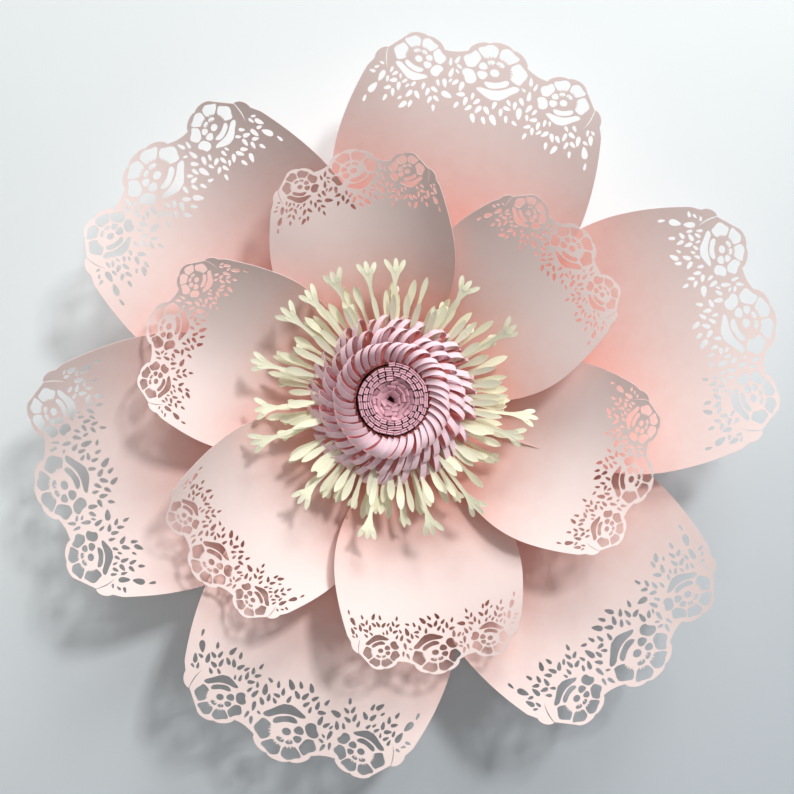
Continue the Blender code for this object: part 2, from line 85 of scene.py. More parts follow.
def turned(first: Part, second: Part, angle: float) -> tuple[Part, Part]:
    """Two square directions, or both coordinates of a place, after a turn of first towards second."""
    cos, sin = math.cos(angle), math.sin(angle)
    return first * cos + second * sin, second * cos - first * sin


def radial(angle: float) -> Vector:
    """The direction away from the axis, at an angle clockwise from straight up as seen from the front."""
    return Vector((math.sin(angle), 0.0, math.cos(angle)))


def clockwise(angle: float) -> Vector:
    """The direction of clockwise travel round the axis, at such an angle."""
    return Vector((math.cos(angle), 0.0, -math.sin(angle)))


def on_wall(angle: float, out: float, sideways: float, height: float) -> Vector:
    """The place that lies this far out from the axis, clockwise of that line, and off the wall."""
    return radial(angle) * out + clockwise(angle) * sideways + TOWARDS_VIEWER * height


def shares_of(steps: int) -> list[float]:
    """Shares from 0 to 1, both included, in this many steps."""
    return [step / steps for step in range(steps + 1)]


def linear(red: int, green: int, blue: int) -> tuple[float, float, float, float]:
    """Turns a colour as a screen shows it into the one that a shader takes.

    Args:
        red: 0 to 255.
        green: 0 to 255.
        blue: 0 to 255.

    Returns:
        Linear red, green, blue and a full alpha.
    """
    def one(value: int) -> float:
        """Turns one of the three."""
        share = value / 255
        return share / 12.92 if share <= 0.04045 else ((share + 0.055) / 1.055) ** 2.4

    return (one(red), one(green), one(blue), 1.0)


Operand = Union["Signal", float]


class Signal:
    """A shader output that takes part in sums like a number."""

    def __init__(self, graph: "ShaderGraph", socket: bpy.types.NodeSocket) -> None:
        """Wraps an output socket of the graph."""
        self.graph = graph
        self.socket = socket

    def _sum(self, operation: str, first: Operand, second: Operand) -> "Signal":
        """The output of a Math node on two inputs."""
        return self.graph.add("ShaderNodeMath", {"operation": operation}, {0: first, 1: second})

    def __add__(self, other: Operand) -> "Signal":
        """self + other."""
        return self._sum("ADD", self, other)

    def __radd__(self, other: Operand) -> "Signal":
        """other + self."""
        return self._sum("ADD", other, self)

    def __sub__(self, other: Operand) -> "Signal":
        """self - other."""
        return self._sum("SUBTRACT", self, other)

    def __rsub__(self, other: Operand) -> "Signal":
        """other - self."""
        return self._sum("SUBTRACT", other, self)

    def __mul__(self, other: Operand) -> "Signal":
        """self * other."""
        return self._sum("MULTIPLY", self, other)

    def __rmul__(self, other: Operand) -> "Signal":
        """other * self."""
        return self._sum("MULTIPLY", other, self)


class ShaderGraph:
    """The node tree of one material."""

    def __init__(self, name: str) -> None:
        """Makes an empty material.

        Args:
            name: the material's name.
        """
        self.material = bpy.data.materials.new(name)
        self.material.use_nodes = True
        self.tree = self.material.node_tree
        self.tree.nodes.clear()

    def add(self, kind: str, settings: dict, inputs: dict, output: Union[int, str] = 0) -> Signal:
        """Adds a node.

        Args:
            kind: the node's type.
            settings: its properties by name.
            inputs: signals or plain values by socket name or number.
            output: the socket to return.

        Returns:
            The chosen output.
        """
        node = self.tree.nodes.new(kind)
        for name, value in settings.items():
            setattr(node, name, value)
        for name, value in inputs.items():
            if isinstance(value, Signal):
                self.tree.links.new(value.socket, node.inputs[name])
            else:
                node.inputs[name].default_value = value
        return Signal(self, node.outputs[output])

    def mix(self, share: Operand, first: Union[Signal, tuple], second: Union[Signal, tuple]) -> Signal:
        """The colour at this share of the way from first to second."""
        return self.add("ShaderNodeMix", {"data_type": "RGBA"}, {0: share, 6: first, 7: second}, 2)

    def ramp(self, value: Signal, low: float, high: float) -> Signal:
        """Eases a value to 0 at the low limit and 1 at the high one."""
        limits = {"Value": value, "From Min": low, "From Max": high}
        return self.add("ShaderNodeMapRange", {"interpolation_type": "SMOOTHSTEP"}, limits)

    def grain(self, scale: float, detail: float) -> Signal:
        """Noise round 0.5 that lies still in the object, with scale waves a metre and detail octaves."""
        place = self.add("ShaderNodeTexCoord", {}, {}, "Object")
        return self.add("ShaderNodeTexNoise", {}, {"Vector": place, "Scale": scale, "Detail": detail})

    def bump(self, strength: float, distance: float, height: Signal) -> Signal:
        """The normal of a surface that stands this far proud where height is 1."""
        inputs = {"Strength": strength, "Distance": distance, "Height": height}
        return self.add("ShaderNodeBump", {}, inputs, "Normal")

    def finish(self, surface: Signal) -> bpy.types.Material:
        """Joins the surface to the output.

        Args:
            surface: a shader.

        Returns:
            The finished material.
        """
        node = self.tree.nodes.new("ShaderNodeOutputMaterial")
        self.tree.links.new(surface.socket, node.inputs["Surface"])
        return self.material


@dataclass(frozen=True)
class Paper:
    """A matt paper whose colour deepens towards its root, as painted shade and bounce light.

    Attributes:
        name: the material's name.
        tip: colour at the free end.
        root: colour at the root, painted shade and bounce light.
        fades: the shares of the length between which root turns into tip.
        roughness: mean roughness.
        fibre: height of the fibres.
    """

    name: str
    tip: tuple[int, int, int]
    root: tuple[int, int, int]
    fades: tuple[float, float] = (0.0, 1.0)
    roughness: float = 0.82
    fibre: float = 0.06 * MM

    def material(self) -> bpy.types.Material:
        """Makes the material.

        Returns:
            A Principled surface with a fine fibre.
        """
        graph = ShaderGraph(self.name)
        share = graph.add("ShaderNodeAttribute", {"attribute_name": "share"}, {}, "Fac")
        mottle = graph.grain(90.0, 3.0)
        fibre = graph.grain(1500.0, 5.0)
        place = share + 0.12 * (mottle - 0.5)
        # Painted shade and bounce light: the colour turns from the tip colour to the deeper root colour along
        # the share.
        colour = graph.mix(graph.ramp(place, *self.fades), linear(*self.root), linear(*self.tip))
        colour = graph.mix(0.05 * fibre, colour, (1.0, 1.0, 1.0, 1.0))
        surface = graph.add("ShaderNodeBsdfPrincipled", {}, {
            "Base Color": colour,
            "Roughness": self.roughness + 0.16 * (mottle - 0.5),
            "Specular IOR Level": 0.3,
            "Normal": graph.bump(0.35, self.fibre, fibre),
        })
        return graph.finish(surface)


@dataclass(frozen=True)
class Board:
    """Plain grey board.

    Attributes:
        name: the material's name.
        colour: its colour.
    """

    name: str
    colour: tuple[int, int, int]

    def material(self) -> bpy.types.Material:
        """Makes the material.

        Returns:
            A Principled surface with dark and light flecks.
        """
        graph = ShaderGraph(self.name)
        flecks = graph.grain(700.0, 6.0)
        dark = tuple(0.7 * part for part in linear(*self.colour)[:3]) + (1.0,)
        colour = graph.mix(graph.ramp(flecks, 0.35, 0.6), dark, linear(*self.colour))
        surface = graph.add("ShaderNodeBsdfPrincipled", {}, {
            "Base Color": colour,
            "Roughness": 0.85 + 0.2 * (flecks - 0.5),
            "Normal": graph.bump(0.4, 0.1 * MM, flecks),
        })
        return graph.finish(surface)


# Painted shade and bounce light: the petal card's salmon root colour.
PETAL_CARD = Paper("petal_card", (255, 235, 230), (238, 146, 124), (0.0, 0.74))
# Painted shade and bounce light: the salmon root colour, on the insides of the loops.
LOOP_PAPER = Paper("loop_paper", (255, 222, 232), (232, 132, 126), (0.0, 0.75))
# Painted shade: the dark plum root colours of the core's rim and cone, deep between the folded ends.
CORE_PAPER = Paper("core_paper", (246, 194, 208), (124, 56, 76), (0.4, 0.95))
CENTRE_PAPER = Paper("core_centre_paper", (240, 184, 198), (116, 54, 72), (0.1, 0.95))
# Painted bounce light: the peach root colour of the stamens' stems near the core.
STAMEN_PAPER = Paper("stamen_paper", (255, 253, 224), (250, 216, 168), (0.0, 0.62))
GREY_BOARD = Board("grey_board", (172, 166, 156))


class PaperSheet:
    """Paper that is put together from ribbons, and becomes one object."""

    def __init__(self) -> None:
        """Starts with no paper."""
        self.places: list[Vector] = []
        self.faces: list[tuple[int, ...]] = []
        self.shares: list[float] = []

    def ribbon(
        self,
        spine: list[Vector],
        across: Union[Vector, list[Vector]],
        widths: Union[float, list[float]],
        shares: Union[float, list[float]],
        hollow: float = 0.0,
    ) -> None:
        """Adds a ribbon three points wide. What stays the same along it may be given once.

        Args:
            spine: its middle line.
            across: the unit direction of its width at each point.
            widths: its width at each point.
            shares: how near each point is to the free end.
            hollow: how deep its middle line lies, as a share of the width.
        """
        first = len(self.places)
        across, widths, shares = (
            part if isinstance(part, list) else [part] * len(spine) for part in (across, widths, shares)
        )
        for index, place in enumerate(spine):
            ahead = spine[min(index + 1, len(spine) - 1)] - spine[max(index - 1, 0)]
            down = ahead.cross(across[index]).normalized() * hollow * widths[index]
            side = across[index] * widths[index] / 2
            self.places += [place - side, place + down, place + side]
            self.shares += [shares[index]] * 3
        for corner in range(first, first + 3 * len(spine) - 3, 3):
            self.faces += [
                (corner, corner + 1, corner + 4, corner + 3),
                (corner + 1, corner + 2, corner + 5, corner + 4),
            ]

    def band(self, outside: float, inside: float, turns: float, low: float, high: float) -> None:
        """Adds the uncut band of a strip that is rolled on edge.

        Args:
            outside: radius where the roll ends.
            inside: radius where it starts.
            turns: how often it goes round.
            low: height of its lower edge off the wall.
            high: height of its upper edge.
        """
        spine = [
            on_wall(2 * math.pi * turns * share, blend(outside, inside, share), 0.0, (low + high) / 2)
            for share in shares_of(int(64 * turns))
        ]
        self.ribbon(spine, TOWARDS_VIEWER, high - low, 0.0)

    def make(self, name: str, thickness: float, material: bpy.types.Material) -> bpy.types.Object:
        """Makes the object, with the paper's thickness behind its front faces.

        Args:
            name: the object's name.
            thickness: of the paper.
            material: its finish.

        Returns:
            The object, with its modifiers applied.
        """
        mesh = bpy.data.meshes.new(name)
        mesh.from_pydata(self.places, [], self.faces)
        mesh.attributes.new("share", "FLOAT", "POINT").data.foreach_set("value", self.shares)
        mesh.materials.append(material)
        obj = bpy.data.objects.new(name, mesh)
        bpy.context.scene.collection.objects.link(obj)
        bpy.ops.object.select_all(action="DESELECT")
        obj.select_set(True)
        bpy.context.view_layer.objects.active = obj
        wall = obj.modifiers.new("thickness", "SOLIDIFY")
        wall.thickness = thickness
        wall.offset = -1.0
        bpy.ops.object.modifier_apply(modifier=wall.name)
        bpy.ops.object.shade_smooth_by_angle(angle=SMOOTHING_ANGLE)
        return obj


def hand_in(obj: bpy.types.Object, node: str) -> None:
    """Puts a finished piece in place of its frame node.

    Args:
        obj: the piece.
        node: the frame node that it stands for.
    """
    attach(obj, "root")
    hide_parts(node)
    LOG.info("%s: %d faces", obj.name, len(obj.data.polygons))


@dataclass(frozen=True)
class RoseWindow:
    """One cut in a rose, in shares of the rose's radius and degrees from the lip's direction.

    Attributes:
        middle: where its middle lies round the rose.
        span: how far it reaches round the rose.
        inner: its inner radius.
        outer: its outer radius.
        teeth: jags on its inner side.
        wave: how far its outer side waves.
        square: 2 for an oval, and more for a squarer shape.
    """

    middle: float
    span: float
    inner: float
    outer: float
    teeth: int = 0
    wave: float = 0.0
    square: float = 2.6


@dataclass(frozen=True)
class Spray:
    """A stem with paired leaves, which starts beside a rose.

    Attributes:
        start: direction of its root from the rose's middle, in degrees from the across direction.
        away: distance of its root from the rose's rim.
        heading: where the stem points, in degrees from the across direction.
        bend: how far the stem turns over its length, in degrees.
        pairs: number of pairs of leaves.
        leaf: length of its first leaves.
    """

    start: float
    away: float
    heading: float
    bend: float
    pairs: int
    leaf: float


Place = tuple[float, float]


def beyond(place: Place, degrees: float, reach: float, width: float = 1.0) -> Place:
    """The place at this direction and distance from another, with what goes across times width."""
    angle = math.radians(degrees)
    return place[0] + reach * width * math.cos(angle), place[1] + reach * math.sin(angle)


@dataclass
class LaceDrawing:
    """The flat drawing of an outer petal, with its band of roses and leaves.

    Attributes:
        length: from foot to lip.
        foot_half_width: half the width at the foot.
        blade_half_width: half the greatest width.
        widest_at: where it is widest.
        corner_half_width: half the width at the lip's ends.
        corner_drop: how far the lip's ends lie below its middle.
        shoulder_fullness: shape of the shoulders.
        bump_radius: the rounded ends of the lip.
        rose_spacing: between the middles of the roses.
        middle_rose_radius: radius of the middle rose.
        side_rose_radius: radius of a side rose.
        side_rose_drop: how far the side roses lie below the middle one.
        rim: width of the rim round a rose.
        grid: spacing of the points at which the card can bend.
        grid_margin: how far they stay from the edge.
        row_pitch: from one of their rows to the next, as a share of the spacing.
        lip_half_width: half the width of their last row.
        rose_width: a rose's width as a share of its height.
        side_rose_lean: degrees by which the side roses lean outwards.
        lobe_root: reach of the notches between the lip's lobes, as a share of a rose's radius.
        scallop: depth of the lip's lobes, as a share of a rose's radius.
        lobe_points: points along a lobe.
        side_points: points up a side.
        tooth: depth of a window's teeth, as a share of a rose's radius.
        bridge: least card between a leaf and another cut.
        dart_foot: where the dart starts.
        dart_end: where it ends.
        dart_gap: its width.
        rose_windows: the cuts of a rose.
        middle_sprays: the sprays of the middle rose.
        side_sprays: the sprays of a side rose.
        eye: half the width and half the height of a rose's eye, as shares of its radius.
        eye_drop: how far the eye lies beside and below the middle, as a share of the radius.
        eye_points: points round the eye.
        garland: direction, turn and length of each leaf close round a rose.
        garland_tuck: how far these leaves reach under the rose's rim.
        filling_sizes: lengths of the leaves that fill the band.
        filling_tries: how many of each length are tried.
        filling_start: the first direction from a rose in which they lie, in degrees.
        filling_end: the last one.
        filling_near: how far out they reach where the band is narrow.
        filling_far: how far out they reach where it is wide.
        filling_waves: how fast the band's width changes round a rose.
        filling_turn: degrees between such a leaf and the direction from the rose.
        lip_margin: least card between a leaf and the edge.
        lip_leaves: place across, drop below the lip, direction, length and width of the single leaves.
        leaf_points: points round a leaf.
        leaf_width: a leaf's width as a share of its length.
        leaf_taper: how much fuller its end is than its front.
        leaf_turn: degrees between a paired leaf and its stem.
        leaf_seat: from a stem to the middle of its leaf, as a share of the leaf.
        leaf_pitch: from one pair of leaves to the next, as a share of a leaf.
        leaf_shrink: how much smaller the last leaves of a spray are.
        valley_sag: how far the lip hangs between two roses.
        window_points: points round a window.
        slit_gap: from a side rose's rim to the slit beside it.
        slit_width: of that slit in its middle.
    """

    length: float = 277 * MM
    foot_half_width: float = 22 * MM
    blade_half_width: float = 108 * MM
    widest_at: float = 172 * MM
    corner_half_width: float = 97 * MM
    corner_drop: float = 35.5 * MM
    shoulder_fullness: float = 1.3
    bump_radius: float = 12 * MM
    rose_spacing: float = 61 * MM
    middle_rose_radius: float = 22.8 * MM
    side_rose_radius: float = 19 * MM
    side_rose_drop: float = 11 * MM
    rim: float = 2.9 * MM
    grid: float = 5.2 * MM
    grid_margin: float = 2 * MM
    row_pitch: float = 0.87
    lip_half_width: float = 12 * MM
    rose_width: float = 1.3
    side_rose_lean: float = 9.0
    lobe_root: float = 0.945
    scallop: float = 0.065
    lobe_points: int = 8
    side_points: int = 44
    tooth: float = 0.15
    bridge: float = 0.85 * MM
    dart_foot: float = 16 * MM
    dart_end: float = 60 * MM
    dart_gap: float = 0.1 * MM
    rose_windows: tuple[RoseWindow, ...] = (
        RoseWindow(22, 43, 0.50, 1.02, 4, 0.03, 3.6),
        RoseWindow(-25, 43, 0.50, 1.02, 4, 0.03, 3.6),
        RoseWindow(77, 57, 0.50, 1.02, 5, 0.05, 3.0),
        RoseWindow(-73, 48, 0.58, 1.02, 0, 0.05, 2.6),
        RoseWindow(158, 95, 0.71, 1.05, 0, 0.06, 2.8),
        RoseWindow(156, 92, 0.41, 0.65, 0, 0.02, 2.4),
        RoseWindow(-121, 40, 0.62, 1.02, 0, 0.03, 2.4),
        RoseWindow(21, 44, 0.24, 0.45, 2, 0.0, 2.6),
        RoseWindow(-28, 38, 0.24, 0.45, 2, 0.0, 2.6),
        RoseWindow(-76, 40, 0.25, 0.52, 0, 0.0, 2.4),
        RoseWindow(-126, 44, 0.24, 0.56, 0, 0.0, 2.4),
    )
    eye: tuple[float, float] = (0.17, 0.13)
    eye_drop: float = 0.03
    eye_points: int = 14
    middle_sprays: tuple[Spray, ...] = (
        Spray(208, 5 * MM, 190, -14, 2, 6.6 * MM),
        Spray(236, 5 * MM, 232, 18, 1, 7.2 * MM),
        Spray(268, 4 * MM, 280, 24, 1, 7.6 * MM),
        Spray(300, 5 * MM, 318, 18, 2, 6.4 * MM),
        Spray(334, 5 * MM, 350, 12, 1, 7.0 * MM),
    )
    side_sprays: tuple[Spray, ...] = (
        Spray(198, 5 * MM, 206, 16, 1, 7.4 * MM),
        Spray(232, 4 * MM, 236, 18, 2, 6.6 * MM),
        Spray(264, 5 * MM, 262, 18, 1, 7.2 * MM),
        Spray(298, 4 * MM, 300, -14, 2, 6.8 * MM),
    )
    garland: tuple[tuple[float, float, float], ...] = (
        (182, -20, 6.8 * MM), (196, 28, 6.4 * MM), (209, -24, 7.6 * MM), (222, 18, 5.4 * MM),
        (236, -10, 7.8 * MM), (250, 22, 5.6 * MM), (264, -18, 7.8 * MM), (278, 16, 6.0 * MM),
        (292, -20, 7.6 * MM), (306, 12, 5.6 * MM), (320, -16, 7.4 * MM), (334, 24, 6.2 * MM),
        (350, -18, 6.8 * MM),
    )
    garland_tuck: float = 1 * MM
    filling_sizes: tuple[float, ...] = (9.4 * MM, 8.0 * MM, 6.6 * MM, 5.2 * MM, 4.2 * MM)
    filling_tries: int = 260
    filling_start: float = 160.0
    filling_end: float = 380.0
    filling_near: float = 7.0 * MM
    filling_far: float = 16.0 * MM
    filling_waves: int = 7
    filling_turn: float = 32.0
    lip_margin: float = 2.6 * MM
    lip_leaves: tuple[tuple[float, float, float, float, float], ...] = (
        (31.0 * MM, 22 * MM, 108, 7.0 * MM, 3.0 * MM),
        (36.0 * MM, 25 * MM, 78, 6.4 * MM, 2.6 * MM),
        (33.0 * MM, 33 * MM, 98, 8.0 * MM, 3.4 * MM),
        (41.0 * MM, 40 * MM, 24, 14.0 * MM, 1.1 * MM),
        (91.0 * MM, 62 * MM, 118, 10.0 * MM, 5.0 * MM),
        (93.5 * MM, 36 * MM, 76, 6.5 * MM, 2.6 * MM),
        (92.5 * MM, 46 * MM, 150, 4.4 * MM, 2.0 * MM),
        (95.0 * MM, 72 * MM, 96, 6.0 * MM, 2.4 * MM),
    )
    leaf_points: int = 12
    leaf_width: float = 0.48
    leaf_taper: float = 0.35
    leaf_turn: float = 38.0
    leaf_seat: float = 0.75
    leaf_pitch: float = 1.08
    leaf_shrink: float = 0.16
    valley_sag: float = 1.2 * MM
    window_points: int = 40
    slit_gap: float = 2.6 * MM
    slit_width: float = 0.9 * MM

    def half_width(self, along: float) -> float:
        """Half the width of the sheet.

        Args:
            along: distance from the foot.

        Returns:
            The half width there.
        """
        if along < self.widest_at:
            share = 1 - (1 - along / self.widest_at) ** 2
            return blend(self.foot_half_width, self.blade_half_width, share**self.shoulder_fullness)
        share = (along - self.widest_at) / (self.length - self.corner_drop - self.widest_at)
        return blend(self.blade_half_width, self.corner_half_width, share**2)

    def roses(self) -> list[tuple[Place, float]]:
        """Middle and radius of each rose, from left to right."""
        side = self.length - self.side_rose_drop - self.side_rose_radius
        return [
            ((-self.rose_spacing, side), self.side_rose_radius),
            ((0.0, self.length - self.middle_rose_radius), self.middle_rose_radius),
            ((self.rose_spacing, side), self.side_rose_radius),
        ]

    def arc(
        self, middle: Place, radius: float, start: float, end: float, lobes: int, width: float = 1.0
    ) -> list[Place]:
        """Part of the scalloped lip.

        Args:
            middle: of the arc.
            radius: of the arc.
            start: degrees from the across direction.
            end: degrees from the across direction.
            lobes: how many scallops it has.
            width: how much wider than high the arc is.

        Returns:
            Points along it.
        """
        points = []
        for share in shares_of(self.lobe_points * lobes):
            bulge = math.sin(math.pi * ((share * lobes) % 1.0)) ** 0.5
            reach = radius * (self.lobe_root + self.scallop * bulge)
            points.append(beyond(middle, blend(start, end, share), reach, width))
        return points

    def outline(self) -> list[Place]:
        """The edge of the sheet.

        Returns:
            Points from the foot up the right side, along the lip and down again.
        """
        bump_along = self.length - self.corner_drop - 0.4 * self.bump_radius
        bump = (self.corner_half_width - self.bump_radius, bump_along)
        side_end = self.length - self.corner_drop - self.bump_radius
        sides = [side_end * step / self.side_points for step in range(self.side_points + 1)]
        right = [(self.half_width(along), along) for along in sides]
        _, middle_rose, side_rose = self.roses()
        right += self.arc(bump, self.bump_radius, 0, 75, 1)
        right += self.arc(*side_rose, 50, 138, 2, self.rose_width)
        middle = self.arc(*middle_rose, 28, 152, 3, self.rose_width)
        right += self.valley(right[-1], middle[0])
        left = [(-across, along) for across, along in reversed(right)]
        return right + middle + left

    def valley(self, start: Place, end: Place) -> list[Place]:
        """Points of the hollow lip from the end of one rose's arc to the start of the next one's."""
        return [
            (
                blend(start[0], end[0], share),
                blend(start[1], end[1], share) - self.valley_sag * math.sin(math.pi * share),
            )
            for share in shares_of(8)[1:-1]
        ]

    def rose(self, middle: Place, radius: float, mirror: int, lean: float) -> list[list[Place]]:
        """The cuts of one rose.

        Args:
            middle: of the rose.
            radius: of the rose.
            mirror: 1, or -1 for a mirrored rose.
            lean: degrees by which it leans to the right.

        Returns:
            The windows.
        """
        cuts = []
        for window in self.rose_windows:
            cut = []
            for flat, depth in self.window(window):
                direction = 90 - lean + mirror * (window.middle + flat * window.span / 2)
                cut.append(beyond(middle, direction, (radius - self.rim) * depth, self.rose_width))
            cuts.append(cut)
        heart = (middle[0] - self.eye_drop * radius * mirror, middle[1] - self.eye_drop * radius)
        across, along = self.eye
        turns = [360 * share for share in shares_of(self.eye_points)[:-1]]
        return cuts + [[beyond(heart, turn, along * radius, across / along) for turn in turns]]

    def window(self, window: RoseWindow) -> list[tuple[float, float]]:
        """The shape of one cut in a rose.

        Args:
            window: its measures.

        Returns:
            Places along it, as a share of half its span and a share of the rose's radius.
        """
        half = self.window_points // 2
        shape = []
        for step in range(half):
            turn = math.pi * step / half
            flat = math.copysign(abs(math.cos(turn)) ** (2 / window.square), math.cos(turn))
            tall = math.sin(turn) ** (2 / window.square)
            depth = blend(window.inner, window.outer, (1 + tall) / 2)
            shape.append((flat, depth + window.wave * math.sin(flat * 5.0 + window.middle)))
        for step in range(half):
            flat = 2 * step / half - 1
            tall = -((1 - abs(flat) ** window.square) ** (1 / window.square))
            jag = self.tooth * (1 - flat * flat) * ((flat + 1) * window.teeth / 2 % 1.0)
            shape.append((flat, blend(window.inner, window.outer, (1 + tall) / 2) + jag))
        return shape

    def leaf(
        self, middle: Place, heading: float, length: float, width: float, mirror: int = 1
    ) -> list[Place]:
        """A leaf-shaped cut.

        Args:
            middle: of the leaf.
            heading: degrees from the across direction.
            length: from end to end.
            width: at its widest.
            mirror: 1, or -1 for a heading that is mirrored.

        Returns:
            The window.
        """
        heading = math.radians(heading if mirror > 0 else 180 - heading)
        cut = []
        for share in shares_of(self.leaf_points)[:-1]:
            turn = 2 * math.pi * share
            ahead = length / 2 * math.cos(turn)
            aside = width / 2 * math.sin(turn) * (1 - self.leaf_taper * math.cos(turn))
            along, across = turned(aside, ahead, heading)
            cut.append((middle[0] + across, middle[1] + along))
        return cut

    def spray(self, rose: tuple[Place, float], spray: Spray, mirror: int) -> list[list[Place]]:
        """The leaves of a spray.

        Args:
            rose: middle and radius of the rose that it starts from.
            spray: its shape.
            mirror: 1, or -1 for a mirrored spray.

        Returns:
            The windows.
        """
        place = beyond(rose[0], spray.start, rose[1] + spray.away, mirror)
        cuts = []
        for pair in range(spray.pairs + 1):
            share = pair / max(spray.pairs, 1)
            heading = spray.heading + spray.bend * share
            size = spray.leaf * (1 - self.leaf_shrink * share)
            for side in (-1, 1) if pair < spray.pairs else (0,):
                direction = heading + self.leaf_turn * side
                centre = beyond(place, direction, self.leaf_seat * size, mirror)
                cuts.append(self.leaf(centre, direction, size, size * self.leaf_width, mirror))
            place = beyond(place, heading, self.leaf_pitch * size, mirror)
        return cuts

    def wreath(self, rose: tuple[Place, float], mirror: int) -> list[list[Place]]:
        """The leaves that stand close round a rose on its stem's side.

        Args:
            rose: middle and radius of the rose.
            mirror: 1, or -1 for a mirrored wreath.

        Returns:
            The windows.
        """
        middle, radius = rose
        cuts = []
        for angle, turn, size in self.garland:
            away = radius - self.garland_tuck + size / 2
            centre = beyond(middle, angle, away, self.rose_width * mirror)
            cuts.append(self.leaf(centre, angle + turn, size, size * self.leaf_width, mirror))
        return cuts

    def stands_clear(self, cut: list[Place], taken: list[Place], gap: float) -> bool:
        """Tells whether enough card is left round a cut.

        Args:
            cut: the new window.
            taken: points of the lines that are there.
            gap: the least distance to them.

        Returns:
            True if it keeps the distance to all of them.
        """
        left, right = min(x for x, _ in cut) - gap, max(x for x, _ in cut) + gap
        low, high = min(y for _, y in cut) - gap, max(y for _, y in cut) + gap
        near = [(x, y) for x, y in taken if left < x < right and low < y < high]
        return all(math.hypot(x1 - x2, y1 - y2) > gap for x2, y2 in near for x1, y1 in cut)

    def fine(self, loop: list[Place]) -> list[Place]:
        """The same closed line with more points.

        Args:
            loop: a closed line.

        Returns:
            Points along it, a millimetre apart.
        """
        points = []
        for (x1, y1), (x2, y2) in zip(loop, loop[1:] + loop[:1]):
            count = math.ceil(math.hypot(x2 - x1, y2 - y1) / MM) or 1
            points += [(blend(x1, x2, step / count), blend(y1, y2, step / count)) for step in range(count)]
        return points

    def inside(self, place: Place, loop: list[Place]) -> bool:
        """Tells whether a place lies inside a closed line.

        Args:
            place: the place.
            loop: the closed line.

        Returns:
            True if it does.
        """
        across, along = place
        passed = 0
        for (x1, y1), (x2, y2) in zip(loop, loop[1:] + loop[:1]):
            if (y1 > along) != (y2 > along):
                passed += x1 + (along - y1) / (y2 - y1) * (x2 - x1) > across
        return passed % 2 == 1

    def filling(self, outline: list[Place]) -> list[list[Place]]:
        """Leaves that may fill what is left of the band, the largest first.

        Args:
            outline: the edge of the sheet.

        Returns:
            Windows, many of which lie on each other.
        """
        dice = random.Random("leaves")
        roses = self.roses()
        leaves = []
        for size in self.filling_sizes:
            for _ in range(self.filling_tries):
                (across, along), radius = dice.choice(roses)
                towards = dice.uniform(self.filling_start, self.filling_end)
                fullness = (1 + math.sin(math.radians(towards * self.filling_waves))) / 2
                depth = blend(self.filling_near, self.filling_far, fullness)
                away = size / 2 + dice.uniform(-2 * MM, depth)
                centre = (
                    across + (radius * self.rose_width + away) * math.cos(math.radians(towards)),
                    along + (radius + away) * math.sin(math.radians(towards)),
                )
                facing = towards + dice.choice((-1, 1)) * self.filling_turn + dice.uniform(-9, 9)
                if self.inside(centre, outline):
                    leaves.append(self.leaf(centre, facing, size, size * self.leaf_width))
        return leaves

    def slit(self, middle: Place, radius: float, start: float, end: float, width: float) -> list[Place]:
        """A thin curved cut.

        Args:
            middle: of its arc.
            radius: of its arc.
            start: degrees from the across direction.
            end: degrees from the across direction.
            width: in its middle.

        Returns:
            The window.
        """
        cut = []
        for side in (1, -1):
            for step in range(9):
                share = step / 9 if side > 0 else 1 - step / 9
                reach = radius + side * width / 2 * math.sin(math.pi * share)
                cut.append(beyond(middle, blend(start, end, share), reach))
        return cut

    def windows(self) -> list[list[Place]]:
        """All cuts of the lace.

        Returns:
            The windows.
        """
        left, middle, right = self.roses()
        lean = self.side_rose_lean
        cuts = self.rose(*left, 1, -lean) + self.rose(*middle, -1, 0.0) + self.rose(*right, -1, lean)
        slit_radius = self.side_rose_radius * self.rose_width + self.slit_gap
        for rose, start, end in ((right, -34, 8), (left, 172, 214)):
            cuts.append(self.slit(rose[0], slit_radius, start, end, self.slit_width))
        half = self.dart_gap / 2
        foot, end = self.dart_foot, self.dart_end
        cuts.append([(-half, foot), (half, foot), (half, end), (-half, end)])
        leaves = []
        for across, drop, heading, length, width in self.lip_leaves:
            for mirror in (1, -1):
                place = (mirror * across, self.length - drop)
                leaves.append(self.leaf(place, heading, length, width, mirror))
        for spray in self.middle_sprays:
            leaves += self.spray(middle, spray, 1)
        for spray in self.side_sprays:
            leaves += self.spray(right, spray, 1) + self.spray(left, spray, -1)
        leaves += self.wreath(middle, 1) + self.wreath(right, 1) + self.wreath(left, -1)
        outline = self.outline()
        leaves += self.filling(outline)
        edge = self.fine(outline)
        taken = [place for cut in cuts for place in self.fine(cut)]
        for leaf in leaves:
            places = self.fine(leaf)
            apart = self.stands_clear(places, taken, self.bridge)
            if apart and self.stands_clear(places, edge, self.lip_margin):
                cuts.append(leaf)
                taken += places
        return cuts

    def grid_points(self) -> list[Place]:
        """Points over the whole sheet.

        Returns:
            Points in staggered rows, clear of the edge.
        """
        points = []
        lip = self.length - self.corner_drop
        pitch = self.grid * self.row_pitch
        row = 1
        while row * pitch < self.length - self.grid_margin:
            along = row * pitch
            half = self.half_width(min(along, lip)) - self.grid_margin
            if along > lip:
                half = blend(half, self.lip_half_width, (along - lip) / self.corner_drop)
            across = (row % 2) * self.grid / 2 - self.grid * 100
            while across < half:
                if across > -half:
                    points.append((across, along))
                across += self.grid
            row += 1
        return points

    def runs_left(self, loop: list[Place]) -> bool:
        """Tells whether a closed line keeps its inside on the left."""
        ends = loop[1:] + loop[:1]
        return sum(x1 * y2 - x2 * y1 for (x1, y1), (x2, y2) in zip(loop, ends)) > 0

